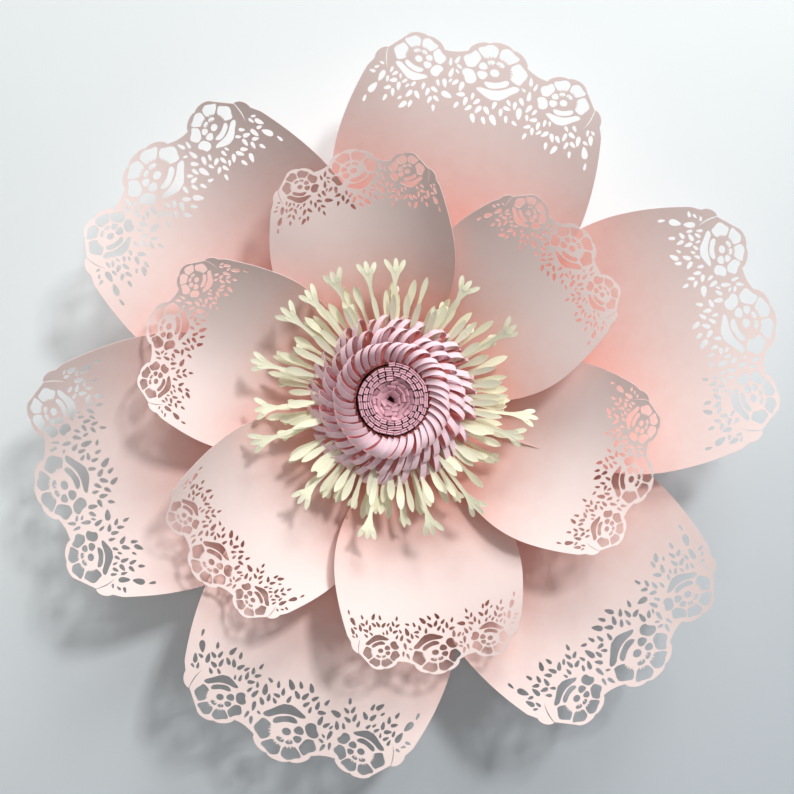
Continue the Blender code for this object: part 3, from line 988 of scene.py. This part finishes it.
    def cut(self) -> tuple[list[Place], list[tuple[int, ...]]]:
        """Cuts the sheet.

        Returns:
            Its points and its triangles.
        """
        points: list[Place] = []
        loops = []
        for loop in [self.outline()] + self.windows():
            ring = list(range(len(points), len(points) + len(loop)))
            loops.append(ring if self.runs_left(loop) else ring[::-1])
            points += loop
        points += self.grid_points()
        corners, _, triangles, _, _, origins = delaunay_2d_cdt(
            [Vector(point) for point in points], [], loops, 0, SAME_PLACE
        )
        kept = [tuple(triangle) for triangle, inside in zip(triangles, origins) if list(inside) == [0]]
        used = sorted({corner for triangle in kept for corner in triangle})
        number = {corner: index for index, corner in enumerate(used)}
        return (
            [(corners[corner].x, corners[corner].y) for corner in used],
            [tuple(number[corner] for corner in triangle) for triangle in kept],
        )


@dataclass(frozen=True)
class Petal:
    """Where one petal sits and how it is bent.

    Attributes:
        name: its name.
        angle: degrees clockwise from straight up.
        foot: distance of its foot from the axis.
        aside: how far its middle line passes the axis on the clockwise side.
        rise: steepest angle of its spine to the wall, in degrees.
        cup: radius of its curl.
        scale: its size beside the drawing.
        darted: whether its dart is long enough to be seen.
    """

    name: str
    angle: float
    foot: float
    aside: float
    rise: float
    cup: float
    scale: float = 1.0
    darted: bool = False


@dataclass
class PetalForm:
    """Bends the flat drawing of a petal to its place in the flower.

    Attributes:
        petal: its place and shape.
        drawing: its flat drawing.
        seat: height of the surface that its foot is glued on.
        seed: picks its unevenness.
        foot_slope: the spine's angle to the wall at the foot.
        lip_relax: how much flatter the spine runs at the lip.
        climb_end: the share of the length at which the spine is steepest.
        relax_start: the share at which it starts to run flatter.
        foot_cup_share: the curl at the foot, as a share of the full curl.
        tucked_cup_share: the curl of the tucked side at the foot, as a share of the other side's.
        foot_tilt: sideways tilt at the foot.
        lip_tilt: sideways tilt at the lip.
        steps: pieces of the spine.
        glue_gap: room for the glue under the foot.
        card: thickness of the card.
        wave_height: how far the card waves.
        wave_length: from one wave to the next.
        dart_flap: how far the dart's upper side stands up.
        dart_fade: width over which it does.
    """

    petal: Petal
    drawing: LaceDrawing
    seat: float
    seed: int
    foot_slope: float = math.radians(4)
    lip_relax: float = math.radians(5)
    climb_end: float = 0.5
    relax_start: float = 0.75
    foot_cup_share: float = 0.55
    tucked_cup_share: float = 0.6
    foot_tilt: float = math.radians(6)
    lip_tilt: float = math.radians(2)
    steps: int = 48
    glue_gap: float = 0.3 * MM
    card: float = 0.4 * MM
    wave_height: float = 1.3 * MM
    wave_length: float = 70 * MM
    dart_flap: float = 0.9 * MM
    dart_fade: float = 16 * MM

    def __post_init__(self) -> None:
        """Works out the petal's spine."""
        petal, drawing = self.petal, self.drawing
        self.angle = math.radians(petal.angle)
        self.length = drawing.length * petal.scale
        self.out = [petal.foot]
        self.height = [0.0]
        stride = self.length / self.steps
        for step in range(self.steps):
            slope = self.slope((step + 0.5) * stride)
            self.out.append(self.out[-1] + stride * math.cos(slope))
            self.height.append(self.height[-1] + stride * math.sin(slope))
        edge = drawing.foot_half_width * petal.scale
        lowest = min(-self.place(edge * share / 6, 0.0).y for share in range(-6, 7))
        self.height = [height + self.seat + self.glue_gap + self.card - lowest for height in self.height]

    def slope(self, along: float) -> float:
        """The spine's angle to the wall.

        Args:
            along: distance from the foot.

        Returns:
            The angle in radians.
        """
        share = along / self.length
        climb = (math.radians(self.petal.rise) - self.foot_slope) * smooth_step(share / self.climb_end)
        relaxed = smooth_step((share - self.relax_start) / (1 - self.relax_start))
        return self.foot_slope + climb - self.lip_relax * relaxed

    def unevenness(self, across: float, along: float) -> float:
        """How far the card stands off its ideal shape.

        Args:
            across: place in the flat drawing.
            along: place in the flat drawing.

        Returns:
            The height, with the flap of the dart.
        """
        share = along / self.length
        wave = noise.noise(Vector((across, along, self.seed * self.wave_length * 3)) / self.wave_length)
        height = wave * self.wave_height * smooth_step(share * 1.4 - 0.4)
        dart_end = self.drawing.dart_end * self.petal.scale
        if across > 0 and along < dart_end:
            near = smooth_step(1 - across / self.dart_fade) * smooth_step(1.6 - 1.6 * along / dart_end)
            height += self.dart_flap * near
        return height

    def place(self, across: float, along: float) -> Vector:
        """The place in the flower of a point of the flat drawing.

        Args:
            across: place in the flat drawing.
            along: place in the flat drawing.

        Returns:
            The place in the row frame.
        """
        share = min(max(along / self.length, 0.0), 1.0)
        step = min(int(share * self.steps), self.steps - 1)
        rest = share * self.steps - step
        out = blend(self.out[step], self.out[step + 1], rest)
        height = blend(self.height[step], self.height[step + 1], rest)
        slope = self.slope(along)
        tilt = blend(self.foot_tilt, self.lip_tilt, smooth_step(along / (0.8 * self.length)))
        half_width = self.drawing.blade_half_width * self.petal.scale
        tucked = smooth_step(-across / half_width) * smooth_step(2 - 2 * share)
        cup = blend(self.foot_cup_share, 1.0, smooth_step(share))
        curl = cup * (1 - (1 - self.tucked_cup_share) * tucked) / self.petal.cup
        sideways = math.sin(curl * across) / curl
        up = (1 - math.cos(curl * across)) / curl + self.unevenness(across, along)
        turned_up, turned_side = turned(up, sideways, tilt)
        return on_wall(
            self.angle,
            out - turned_up * math.sin(slope),
            self.petal.aside + turned_side,
            height + turned_up * math.cos(slope),
        )


@dataclass
class PetalRings:
    """Both rings of petals.

    Attributes:
        thickness: of the card.
        outer_painted_shade: how much further the deep root colour reaches on the outer ring, as painted shade
            under the inner petals, as a share of the length.
        long_dart: where a dart ends that can be seen.
        outer: the six outer petals.
        inner: the six inner petals.
    """

    thickness: float = 0.4 * MM
    outer_painted_shade: float = 0.12
    long_dart: float = 147 * MM
    outer: tuple[Petal, ...] = (
        Petal("outer_petal_1", 17.3, 29 * MM, 0 * MM, 15, 215 * MM),
        Petal("outer_petal_2", 78.2, 45 * MM, -3 * MM, 15, 300 * MM),
        Petal("outer_petal_3", 137.0, 37 * MM, -6 * MM, 15, 280 * MM),
        Petal("outer_petal_4", 201.4, 33 * MM, -19 * MM, 14, 240 * MM),
        Petal("outer_petal_5", 255.9, 26 * MM, -3 * MM, 14, 170 * MM),
        Petal("outer_petal_6", 313.8, 15 * MM, -1 * MM, 15, 160 * MM),
    )
    inner: tuple[Petal, ...] = (
        Petal("inner_petal_1", 351.3, 9 * MM, -3 * MM, 21, 92 * MM, 0.73),
        Petal("inner_petal_2", 47.7, 12 * MM, 7 * MM, 23, 102 * MM, 0.73),
        Petal("inner_petal_3", 107.9, 25 * MM, 1 * MM, 22, 140 * MM, 0.73, True),
        Petal("inner_petal_4", 172.9, 28 * MM, -10 * MM, 22, 108 * MM, 0.73),
        Petal("inner_petal_5", 230.6, 17 * MM, -9 * MM, 21, 92 * MM, 0.73),
        Petal("inner_petal_6", 291.5, 11 * MM, -11 * MM, 22, 95 * MM, 0.73),
    )

    def build(self, outer_seat: float, inner_seat: float) -> None:
        """Cuts and bends the twelve petals.

        Args:
            outer_seat: height of the back disc's front.
            inner_seat: height of the front disc's front.
        """
        drawings = {False: LaceDrawing(), True: LaceDrawing(dart_end=self.long_dart)}
        sheets = {darted: drawing.cut() for darted, drawing in drawings.items()}
        card = PETAL_CARD.material()
        for seat, ring, painted_shade_share in ((outer_seat, self.outer, self.outer_painted_shade), (inner_seat, self.inner, 0.0)):
            for petal in ring:
                drawing = drawings[petal.darted]
                points, triangles = sheets[petal.darted]
                form = PetalForm(petal, drawing, seat, int(petal.angle))
                sheet = PaperSheet()
                sheet.places = [form.place(x * petal.scale, y * petal.scale) for x, y in points]
                sheet.faces = list(triangles)
                # Painted shade and bounce light: the petal deepens towards its foot, and further on the outer
                # ring, which lies under the inner one.
                sheet.shares = [y / drawing.length - painted_shade_share for _, y in points]
                obj = sheet.make(f"{petal.name}_look", self.thickness, card)
                hand_in(obj, petal.name)


@dataclass(frozen=True)
class LoopRow:
    """One row of loops round the core.

    Attributes:
        count: number of loops.
        root_radius: distance of the roots from the axis.
        root_height: height of the roots above the bundle's foot.
        length: of a loop.
        thickness: how far a loop stands open.
        climb: how much higher a loop's end would be if it were straight.
        droop: how far the end hangs down again.
        turn: degrees by which the row is turned.
        share: colour at the root, as a share from root to tip.
    """

    count: int
    root_radius: float
    root_height: float
    length: float
    thickness: float
    climb: float
    droop: float
    turn: float
    share: float = 0.0


@dataclass
class LoopFringes:
    """The three rolled fringes of loops.

    Attributes:
        width: of a strip.
        thickness: of the paper.
        lean: degrees by which the loops lean clockwise.
        sweep: how far their ends sweep clockwise beyond that.
        tuck: how far the end that comes back is tucked down.
        least_roll: degrees by which the loops stand on edge, where they lie flattest.
        most_roll: the same where they stand up most.
        least_open: how far the flattest loops stand open, as a share of the openest.
        open_towards: degrees clockwise from straight up to where that is.
        first_turn: where round its oval a loop starts, as a share of half a turn.
        last_turn: where it ends.
        bow: how far the loop's middle bows aside.
        painted_shade_turn: where along it the loop turns back inside and takes the deeper colour, as painted
            shade and bounce light.
        steps: points along a loop.
        band_step: from the outside to the inside of a row's band.
        rows: the rows of each fringe.
    """

    width: float = 5.6 * MM
    thickness: float = 0.2 * MM
    lean: float = 28.0
    sweep: float = 5.0 * MM
    tuck: float = 5.0 * MM
    least_roll: float = 18.0
    most_roll: float = 44.0
    least_open: float = 0.62
    open_towards: float = 318.0
    first_turn: float = 0.14
    last_turn: float = 1.84
    bow: float = 3 * MM
    painted_shade_turn: float = 0.66
    steps: int = 24
    band_step: float = 0.6 * MM
    rows: dict[str, tuple[LoopRow, ...]] = field(default_factory=lambda: {
        "loop_fringe_inner": (LoopRow(36, 29.8 * MM, 46 * MM, 20 * MM, 12 * MM, 8 * MM, 6 * MM, 0),),
        "loop_fringe_middle": (LoopRow(34, 32.2 * MM, 33 * MM, 30 * MM, 14 * MM, 11 * MM, 8 * MM, 3),),
        "loop_fringe_outer": (
            LoopRow(32, 34.0 * MM, 25 * MM, 38 * MM, 15 * MM, 12 * MM, 9 * MM, 6),
            LoopRow(32, 35.0 * MM, 17 * MM, 38 * MM, 12 * MM, 12 * MM, 8 * MM, 1, 0.4),
        ),
    })

    def loop(self, sheet: PaperSheet, row: LoopRow, angle: float, foot: float, dice: random.Random) -> None:
        """Adds one loop.

        Args:
            sheet: takes the ribbon.
            row: the loop's row.
            angle: where the loop stands.
            foot: height of the bundle's foot.
            dice: gives its unevenness.
        """
        lean = math.radians(self.lean + dice.uniform(-6, 6))
        openness = (1 + math.cos(angle - math.radians(self.open_towards))) / 2
        roll = math.radians(blend(self.least_roll, self.most_roll, openness) + dice.uniform(-7, 7))
        length = row.length * dice.uniform(0.94, 1.04)
        thickness = row.thickness * blend(self.least_open, 1.0, openness) * dice.uniform(0.82, 1.15)
        out, level = turned(radial(angle), clockwise(angle), lean)
        aside, above = turned(level, TOWARDS_VIEWER, roll)
        root = on_wall(angle, row.root_radius, 0.0, foot + row.root_height)
        tone = dice.uniform(-0.08, 0.08)
        spine, shares = [], []
        for way in shares_of(self.steps):
            turn = math.pi * blend(self.first_turn, self.last_turn, way)
            reach = (1 - math.cos(turn)) / 2
            open_by = math.sin(turn) * thickness / 2 * math.sqrt(reach) * 1.15
            lift = row.climb * reach - row.droop * reach**3 - self.tuck * smooth_step(5 * way - 4)
            spine.append(root + out * length * reach + aside * self.bow * way + above * open_by
                         + level * self.sweep * reach**2 + TOWARDS_VIEWER * lift)
            # Painted shade and bounce light: the part that turns back inside the loop takes the deeper root
            # colour.
            outside = smooth_step((self.painted_shade_turn - way) / 0.2)
            shares.append(tone + blend(0.1, 1.0, outside) * (1 - row.share) + row.share * 0.6)
        sheet.ribbon(spine, aside, self.width * dice.uniform(0.94, 1.04), shares)

    def build(self, foot: float) -> None:
        """Makes the three fringes.

        Args:
            foot: height of the bundle's foot.
        """
        paper = LOOP_PAPER.material()
        for name, rows in self.rows.items():
            dice = random.Random(name)
            sheet = PaperSheet()
            for row in rows:
                inside = row.root_radius - self.band_step
                sheet.band(row.root_radius, inside, 1.0, foot, foot + row.root_height)
                for index in range(row.count):
                    angle = 2 * math.pi * (index + dice.uniform(-0.15, 0.15)) / row.count
                    angle += math.radians(row.turn)
                    self.loop(sheet, row, angle, foot, dice)
            hand_in(sheet.make(f"{name}_look", self.thickness, paper), name)


class StamenTip(Enum):
    """How the free end of a stamen is cut."""

    SPOON = "spoon"
    PRONGS = "prongs"


@dataclass(frozen=True)
class StamenRow:
    """One row of stamens.

    Attributes:
        count: number of stamens.
        tip: how their ends are cut.
        reach: distance of the tips from the axis.
        spread: how unequal the reaches are.
        low: height of the collar above the bundle's foot.
        high: height of the tips above the bundle's foot.
        arch: how far the middle bends up.
        angles: where they stand, in degrees, if they aren't spread evenly.
    """

    count: int
    tip: StamenTip
    reach: float
    spread: float
    low: float
    high: float
    arch: float
    angles: tuple[float, ...] = ()


@dataclass
class StamenFringes:
    """The two rolled fringes of stamens.

    Attributes:
        root_radius: distance of the roots from the axis.
        stem_width: of a stem.
        tip_width: of a spoon-shaped end.
        tip_length: of a spoon-shaped end.
        prong_width: of a prong at its widest.
        prong_length: of a prong.
        prong_curl: how far its end curls up.
        prong_steps: pieces of a prong.
        prong_spread: degrees between two prongs.
        prong_hollow: depth of a prong's fold, as a share of its width.
        hollow: the same of a stem.
        steps: pieces of a stem.
        band_step: from the outside to the inside of a row's band.
        row_step: from one row to the next.
        split_share: share of the spoon-shaped ends that are split.
        thickness: of the paper.
        rows: the rows of each fringe.
    """

    root_radius: float = 36 * MM
    stem_width: float = 2.5 * MM
    tip_width: float = 6.6 * MM
    tip_length: float = 24 * MM
    prong_width: float = 4.3 * MM
    prong_length: float = 11 * MM
    prong_curl: float = 2.5 * MM
    prong_steps: int = 7
    prong_spread: float = 30.0
    prong_hollow: float = 0.08
    hollow: float = 0.07
    steps: int = 20
    band_step: float = 0.5 * MM
    row_step: float = 0.8 * MM
    split_share: float = 0.22
    thickness: float = 0.25 * MM
    rows: dict[str, tuple[StamenRow, ...]] = field(default_factory=lambda: {
        "stamen_fringe_short": (
            StamenRow(46, StamenTip.SPOON, 90 * MM, 7 * MM, 10 * MM, 36 * MM, 4 * MM),
            StamenRow(46, StamenTip.SPOON, 98 * MM, 6 * MM, 6 * MM, 29 * MM, 4 * MM),
            StamenRow(32, StamenTip.SPOON, 84 * MM, 6 * MM, 12 * MM, 41 * MM, 3 * MM),
        ),
        "stamen_fringe_long": (
            StamenRow(16, StamenTip.PRONGS, 118 * MM, 5 * MM, 8 * MM, 45 * MM, 5 * MM, (
                349, 333, 321, 0, 33, 59, 96, 105, 141, 164, 192, 222, 252, 267, 287, 309,
            )),
        ),
    })

    def prong(
        self, sheet: PaperSheet, root: Vector, ahead: Vector, aside: Vector, turn: float, length: float
    ) -> None:
        """Adds one prong.

        Args:
            sheet: takes the ribbon.
            root: the end of the stem.
            ahead: the stem's direction.
            aside: the direction of its width.
            turn: angle between prong and stem.
            length: of the prong.
        """
        heading, side = turned(ahead, aside, turn)
        lift = ahead.cross(aside).normalized()
        spine, widths = [], []
        for way in shares_of(self.prong_steps):
            spine.append(root + heading * length * way + lift * self.prong_curl * way**2)
            swell = blend(0.8, 1.0, math.sin(math.pi * way))
            widths.append(self.prong_width * swell * math.sqrt(max(1 - way**7, 0.02)))
        sheet.ribbon(spine, side, widths, 1.0, self.prong_hollow)

    def stamen(
        self, sheet: PaperSheet, row: StamenRow, angle: float, foot: float, dice: random.Random
    ) -> None:
        """Adds one stamen.

        Args:
            sheet: takes the ribbons.
            row: the stamen's row.
            angle: where it stands.
            foot: height of the bundle's foot.
            dice: gives its unevenness.
        """
        reach = row.reach + dice.uniform(-1, 1) * row.spread
        lean = math.radians(dice.uniform(-9, 10)) * (0.3 if row.angles else 1.0)
        twist = math.radians(dice.uniform(-26, 26))
        high = row.high + dice.uniform(-5, 5) * MM
        out = radial(angle + lean)
        side = clockwise(angle + lean)
        length = reach - self.root_radius
        tip_length = self.tip_length * dice.uniform(0.8, 1.15)
        tip_width = self.tip_width * dice.uniform(0.75, 1.2)
        if row.tip is StamenTip.PRONGS:
            length -= self.prong_length
        root = on_wall(angle, self.root_radius, 0.0, foot + row.low)
        spine, across, widths, shares = [], [], [], []
        for way in shares_of(self.steps):
            lift = (high - row.low) * way + row.arch * math.sin(math.pi * way) - dice.uniform(0, 0.2) * MM
            spine.append(root + out * length * way + TOWARDS_VIEWER * lift)
            across.append(turned(side, TOWARDS_VIEWER, twist * way)[0])
            width = self.stem_width * blend(1.0, 1.15, way)
            if row.tip is StamenTip.PRONGS:
                width = blend(width, 2.2 * self.prong_width, smooth_step(5 * way - 4))
            if row.tip is StamenTip.SPOON:
                near = (way * length - length + tip_length) / tip_length
                if near > 0:
                    swell = smooth_step(1.5 * near) * (1 - 0.35 * near**3)
                    width = blend(width, tip_width, swell) * math.sqrt(max(1 - near**6, 0.03))
            widths.append(width)
            # Painted bounce light: the stem is peach near the core and turns cream towards its end.
            shares.append(way)
        sheet.ribbon(spine, across, widths, shares, self.hollow)
        ahead = (spine[-1] - spine[-3]).normalized()
        if row.tip is StamenTip.PRONGS:
            for index in (-1, 0, 1):
                turn = math.radians(self.prong_spread * index + dice.uniform(-7, 7))
                start = spine[-2] + across[-1] * 0.6 * self.prong_width * index
                length = self.prong_length * dice.uniform(0.85, 1.1)
                self.prong(sheet, start, ahead, across[-1], turn, length)
        elif dice.random() < self.split_share:
            for side_turn in (-22, 24):
                turn = math.radians(side_turn + dice.uniform(-8, 8))
                length = self.prong_length * dice.uniform(0.6, 0.9)
                self.prong(sheet, spine[-4], ahead, across[-1], turn, length)

    def build(self, foot: float) -> None:
        """Makes both fringes.

        Args:
            foot: height of the bundle's foot.
        """
        paper = STAMEN_PAPER.material()
        for name, rows in self.rows.items():
            dice = random.Random(name)
            sheet = PaperSheet()
            radius = self.root_radius
            for row in rows:
                sheet.band(radius, radius - self.band_step, 1.0, foot, foot + row.low)
                for index in range(row.count):
                    angle = 2 * math.pi * (index + dice.uniform(-0.45, 0.45)) / row.count
                    if row.angles:
                        angle = math.radians(row.angles[index])
                    self.stamen(sheet, row, angle, foot, dice)
                radius += self.row_step
            hand_in(sheet.make(f"{name}_look", self.thickness, paper), name)


@dataclass
class Core:
    """The rolled core: a rim of folded ends and a recessed cone.

    Attributes:
        radius: of the whole core.
        rim_turns: turns of the rim.
        pitch: from one turn to the next.
        height: of the rim above the bundle's foot.
        end_width: of a folded end.
        end_depth: of a folded end.
        gap: between two folded ends.
        leg: how deep a strip is cut.
        cone_radius: of the cone.
        hole_radius: of the hole in its middle.
        cone_pitch: from one turn of the cone to the next.
        plate_width: of one of the cone's ends.
        cone_drop: how far the cone starts below the rim.
        cone_fall: how far its middle lies below its start.
        thickness: of the paper.
    """

    radius: float = 29.5 * MM
    rim_turns: int = 3
    pitch: float = 3.8 * MM
    height: float = 50 * MM
    end_width: float = 5.2 * MM
    end_depth: float = 2.7 * MM
    gap: float = 0.7 * MM
    leg: float = 12 * MM
    cone_radius: float = 19 * MM
    hole_radius: float = 4.4 * MM
    cone_pitch: float = 3.7 * MM
    plate_width: float = 6.2 * MM
    cone_drop: float = 2 * MM
    cone_fall: float = 6 * MM
    thickness: float = 0.25 * MM

    def folded_end(
        self, sheet: PaperSheet, angle: float, radius: float, top: float, dice: random.Random
    ) -> None:
        """Adds one folded end of the rim.

        Args:
            sheet: takes the ribbon.
            angle: where it stands.
            radius: of the middle of its fold.
            top: its height off the wall.
            dice: gives its unevenness.
        """
        side, out = turned(clockwise(angle), radial(angle), math.radians(dice.uniform(-7, 7)))
        leaning = dice.uniform(-0.12, 0.16)
        slant = dice.uniform(-0.16, 0.16)
        side = (side + TOWARDS_VIEWER * slant).normalized()
        tone = dice.uniform(-0.16, 0.06)
        middle = on_wall(angle, radius + dice.uniform(-0.25, 0.25) * MM, 0.0, top)
        half = self.end_depth / 2
        outer = (
            (1.1, -self.leg), (1.0, -1.2 * MM), (0.95, -0.3 * MM), (0.7, 0.0), (0.4, -0.15 * MM),
            (0.2, -0.7 * MM),
        )
        profile = [(half * share, drop) for share, drop in outer]
        profile += [(-reach, drop) for reach, drop in reversed(profile)]
        spine = [middle + out * (reach + leaning * drop) + TOWARDS_VIEWER * drop for reach, drop in profile]
        # Painted shade: the folded end darkens down its legs, deep between the ends.
        shares = [tone + 1 + max(drop / (3 * MM), -1) for _, drop in profile]
        sheet.ribbon(spine, side, self.end_width * dice.uniform(0.9, 1.08), shares)

    def rim(self, foot: float) -> PaperSheet:
        """The rim's turns.

        Args:
            foot: height of the bundle's foot.

        Returns:
            The rolled strip.
        """
        dice = random.Random("rim")
        sheet = PaperSheet()
        angle = 0.0
        last = 2 * math.pi * self.rim_turns
        while angle < last:
            radius = self.radius - self.end_depth / 2 - self.pitch * angle / (2 * math.pi)
            top = foot + self.height + dice.uniform(-0.8, 0.4) * MM
            self.folded_end(sheet, angle, radius, top, dice)
            angle += (self.end_width + self.gap) / radius * dice.uniform(0.94, 1.06)
        band_top = foot + self.height - self.leg + 2 * MM
        inside = self.radius - self.pitch * self.rim_turns
        sheet.band(self.radius - 1 * MM, inside, self.rim_turns, foot, band_top)
        return sheet

    def cone(self, foot: float) -> PaperSheet:
        """The cone's overlapping ends.

        Args:
            foot: height of the bundle's foot.

        Returns:
            The rolled strip.
        """
        dice = random.Random("cone")
        sheet = PaperSheet()
        angle = 0.0
        radius = self.cone_radius - 1 * MM
        while radius > self.hole_radius:
            inwards = (self.cone_radius - radius) / (self.cone_radius - self.hole_radius)
            top = foot + self.height - self.cone_drop - self.cone_fall * inwards**1.3
            top += dice.uniform(-0.9, 0.7) * MM
            side, out = turned(clockwise(angle), radial(angle), math.radians(dice.uniform(-16, 22)))
            side = (side + TOWARDS_VIEWER * dice.uniform(-0.24, 0.24)).normalized()
            fall = math.radians(dice.uniform(34, 56))
            face = min(self.cone_pitch * 1.6, (radius - 2.0 * MM) / math.cos(fall))
            width = min(self.plate_width * dice.uniform(0.8, 1.2), radius * 1.1)
            tone = dice.uniform(-0.34, 0.0)
            edge = on_wall(angle, radius, 0.0, top)
            profile = [
                (1.0 * MM, -9 * MM), (0.9 * MM, -1.2 * MM), (0.5 * MM, -0.2 * MM), (0.0, 0.0),
                (-0.35 * MM, -0.15 * MM), (-face * math.cos(fall), -face * math.sin(fall)),
                (-face * math.cos(fall) - 0.4 * MM, -9 * MM),
            ]
            spine = [edge + out * reach + TOWARDS_VIEWER * drop for reach, drop in profile]
            # Painted shade: each end darkens down its legs, into the gaps of the cone.
            shares = [tone + share for share in (0.0, 0.7, 1.0, 1.0, 0.96, 0.72, 0.0)]
            sheet.ribbon(spine, side, width, shares)
            step = width * 1.02 / radius
            angle += step
            radius -= self.cone_pitch * step / (2 * math.pi)
        turns = (self.cone_radius - self.hole_radius) / self.cone_pitch
        band_top = foot + self.height - self.cone_fall - self.leg
        sheet.band(self.cone_radius, self.hole_radius, turns, foot, band_top)
        return sheet

    def build(self, foot: float) -> None:
        """Makes the rim and the cone.

        Args:
            foot: height of the bundle's foot.
        """
        rim = self.rim(foot).make("core_rim_roll_look", self.thickness, CORE_PAPER.material())
        hand_in(rim, "core_rim_roll")
        cone = self.cone(foot).make("core_centre_roll_look", self.thickness, CENTRE_PAPER.material())
        hand_in(cone, "core_centre_roll")


@dataclass(frozen=True)
class Lamp:
    """A square light that points at the flower.

    Attributes:
        name: its name.
        place: where it stands.
        size: its side.
        power: in watts.
    """

    name: str
    place: tuple[float, float, float]
    size: float
    power: float


@dataclass
class Stage:
    """Wall, floor, lights and camera.

    Attributes:
        wall_size: side of the wall.
        wall_gap: distance of the wall behind the flower.
        floor_drop: distance of the floor below the flower's axis.
        painted_light_colour: the wall's colour at its top left, painted light.
        painted_shade_colour: the wall's colour at its bottom right, painted shade where the light falls off.
        wall_slant: how far the change of colour slants.
        wall_fade: the heights between which the painted shade turns into the painted light.
        camera_place: where the camera stands.
        lens: focal length.
        lamps: the lights.
        fill: strength of the light from all sides.
        floor_colour: the floor's colour.
    """

    wall_size: float = 6.0
    wall_gap: float = 0.5 * MM
    floor_drop: float = 1.1
    painted_light_colour: tuple[int, int, int] = (248, 254, 255)
    painted_shade_colour: tuple[int, int, int] = (210, 218, 224)
    wall_slant: float = 0.45
    wall_fade: tuple[float, float] = (-0.5, 0.25)
    camera_place: tuple[float, float, float] = (0.004, -1.0, 0.0024)
    lens: float = 53.0
    lamps: tuple[Lamp, ...] = (
        Lamp("key", (1.75, -2.8, 2.25), 0.6, 72.0),
        Lamp("top_right", (1.1, -1.6, 3.5), 1.42, 74.0),
        Lamp("top_left", (-1.1, -1.6, 3.5), 1.42, 21.0),
        Lamp("front", (0.0, -4.0, 0.4), 1.42, 8.0),
    )
    fill: float = 0.21
    floor_colour: tuple[int, int, int] = (150, 148, 146)

    def plane(self, name: str, place: tuple, turn: tuple, material: bpy.types.Material) -> None:
        """Adds a large plane.

        Args:
            name: its name.
            place: its middle.
            turn: its rotation.
            material: its finish.
        """
        bpy.ops.mesh.primitive_plane_add(size=self.wall_size, location=place, rotation=turn)
        plane = bpy.context.object
        plane.name = name
        plane.data.materials.append(material)
        bpy.ops.object.transform_apply(location=True, rotation=True, scale=True)

    def wall_paint(self) -> bpy.types.Material:
        """Paint for the wall, with painted light and shade, which can be looked through from behind.

        Returns:
            The material.
        """
        graph = ShaderGraph("wall_paint")
        place = graph.add("ShaderNodeTexCoord", {}, {}, "Object")
        across = graph.add("ShaderNodeSeparateXYZ", {}, {"Vector": place}, "X")
        up = graph.add("ShaderNodeSeparateXYZ", {}, {"Vector": place}, "Z")
        # Painted light and shade: the wall is lighter at the top left and darker at the bottom right, as the
        # light falls off.
        share = graph.ramp(up - self.wall_slant * across, *self.wall_fade)
        cloud = graph.grain(3.0, 2.0)
        colour = graph.mix(share + 0.3 * (cloud - 0.5), linear(*self.painted_shade_colour), linear(*self.painted_light_colour))
        paint = graph.add("ShaderNodeBsdfPrincipled", {}, {"Base Color": colour, "Roughness": 0.9})
        clear = graph.add("ShaderNodeBsdfTransparent", {}, {})
        behind = graph.add("ShaderNodeNewGeometry", {}, {}, "Backfacing")
        return graph.finish(graph.add("ShaderNodeMixShader", {}, {0: behind, 1: paint, 2: clear}))

    def floor_paint(self) -> bpy.types.Material:
        """Paint for the floor."""
        graph = ShaderGraph("floor_paint")
        paint = {"Base Color": linear(*self.floor_colour), "Roughness": 0.9}
        return graph.finish(graph.add("ShaderNodeBsdfPrincipled", {}, paint))

    def surround(self) -> None:
        """Light from all sides."""
        world = bpy.data.worlds.new("surround")
        bpy.context.scene.world = world
        world.use_nodes = True
        background = world.node_tree.nodes["Background"]
        background.inputs["Color"].default_value = linear(244, 243, 243)
        background.inputs["Strength"].default_value = self.fill

    def light(self, lamp: Lamp) -> None:
        """Adds a light.

        Args:
            lamp: its place, size and power.
        """
        bpy.ops.object.light_add(type="AREA", location=lamp.place)
        light = bpy.context.object
        light.name = lamp.name
        light.data.size = lamp.size
        light.data.energy = lamp.power
        light.rotation_euler = (-Vector(lamp.place)).to_track_quat("-Z", "Y").to_euler()

    def camera(self) -> None:
        """Adds the camera, which looks straight at the wall."""
        bpy.ops.object.camera_add(location=self.camera_place, rotation=(math.pi / 2, 0.0, 0.0))
        camera = bpy.context.object
        camera.data.lens = self.lens
        camera.data.clip_start = 0.01
        bpy.context.scene.camera = camera

    def tones(self) -> None:
        """Shows the colours as they are, without a film curve."""
        bpy.context.scene.view_settings.view_transform = "Standard"

    def build(self) -> None:
        """Sets up everything round the flower."""
        self.plane("wall", (0.0, self.wall_gap, 0.0), (math.pi / 2, 0.0, 0.0), self.wall_paint())
        self.plane("floor", (0.0, -self.wall_size / 2, -self.floor_drop), (0.0, 0.0, 0.0), self.floor_paint())
        self.surround()
        for lamp in self.lamps:
            self.light(lamp)
        self.camera()
        self.tones()


def main() -> None:
    """Builds the flower and its stage."""
    logging.basicConfig(level=logging.INFO, format="%(message)s")
    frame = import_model()
    board = GREY_BOARD.material()
    for name in ("back_disc", "front_disc"):
        disc = frame["nodes"][name]
        disc.data.materials.clear()
        disc.data.materials.append(board)
    outer_seat, inner_seat = (-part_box(name)[0][1] for name in ("back_disc", "front_disc"))
    foot = -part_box("core_rim_roll")[1][1]
    PetalRings().build(outer_seat, inner_seat)
    StamenFringes().build(foot)
    LoopFringes().build(foot)
    Core().build(foot)
    Stage().build()


if __name__ == "__main__":
    main()
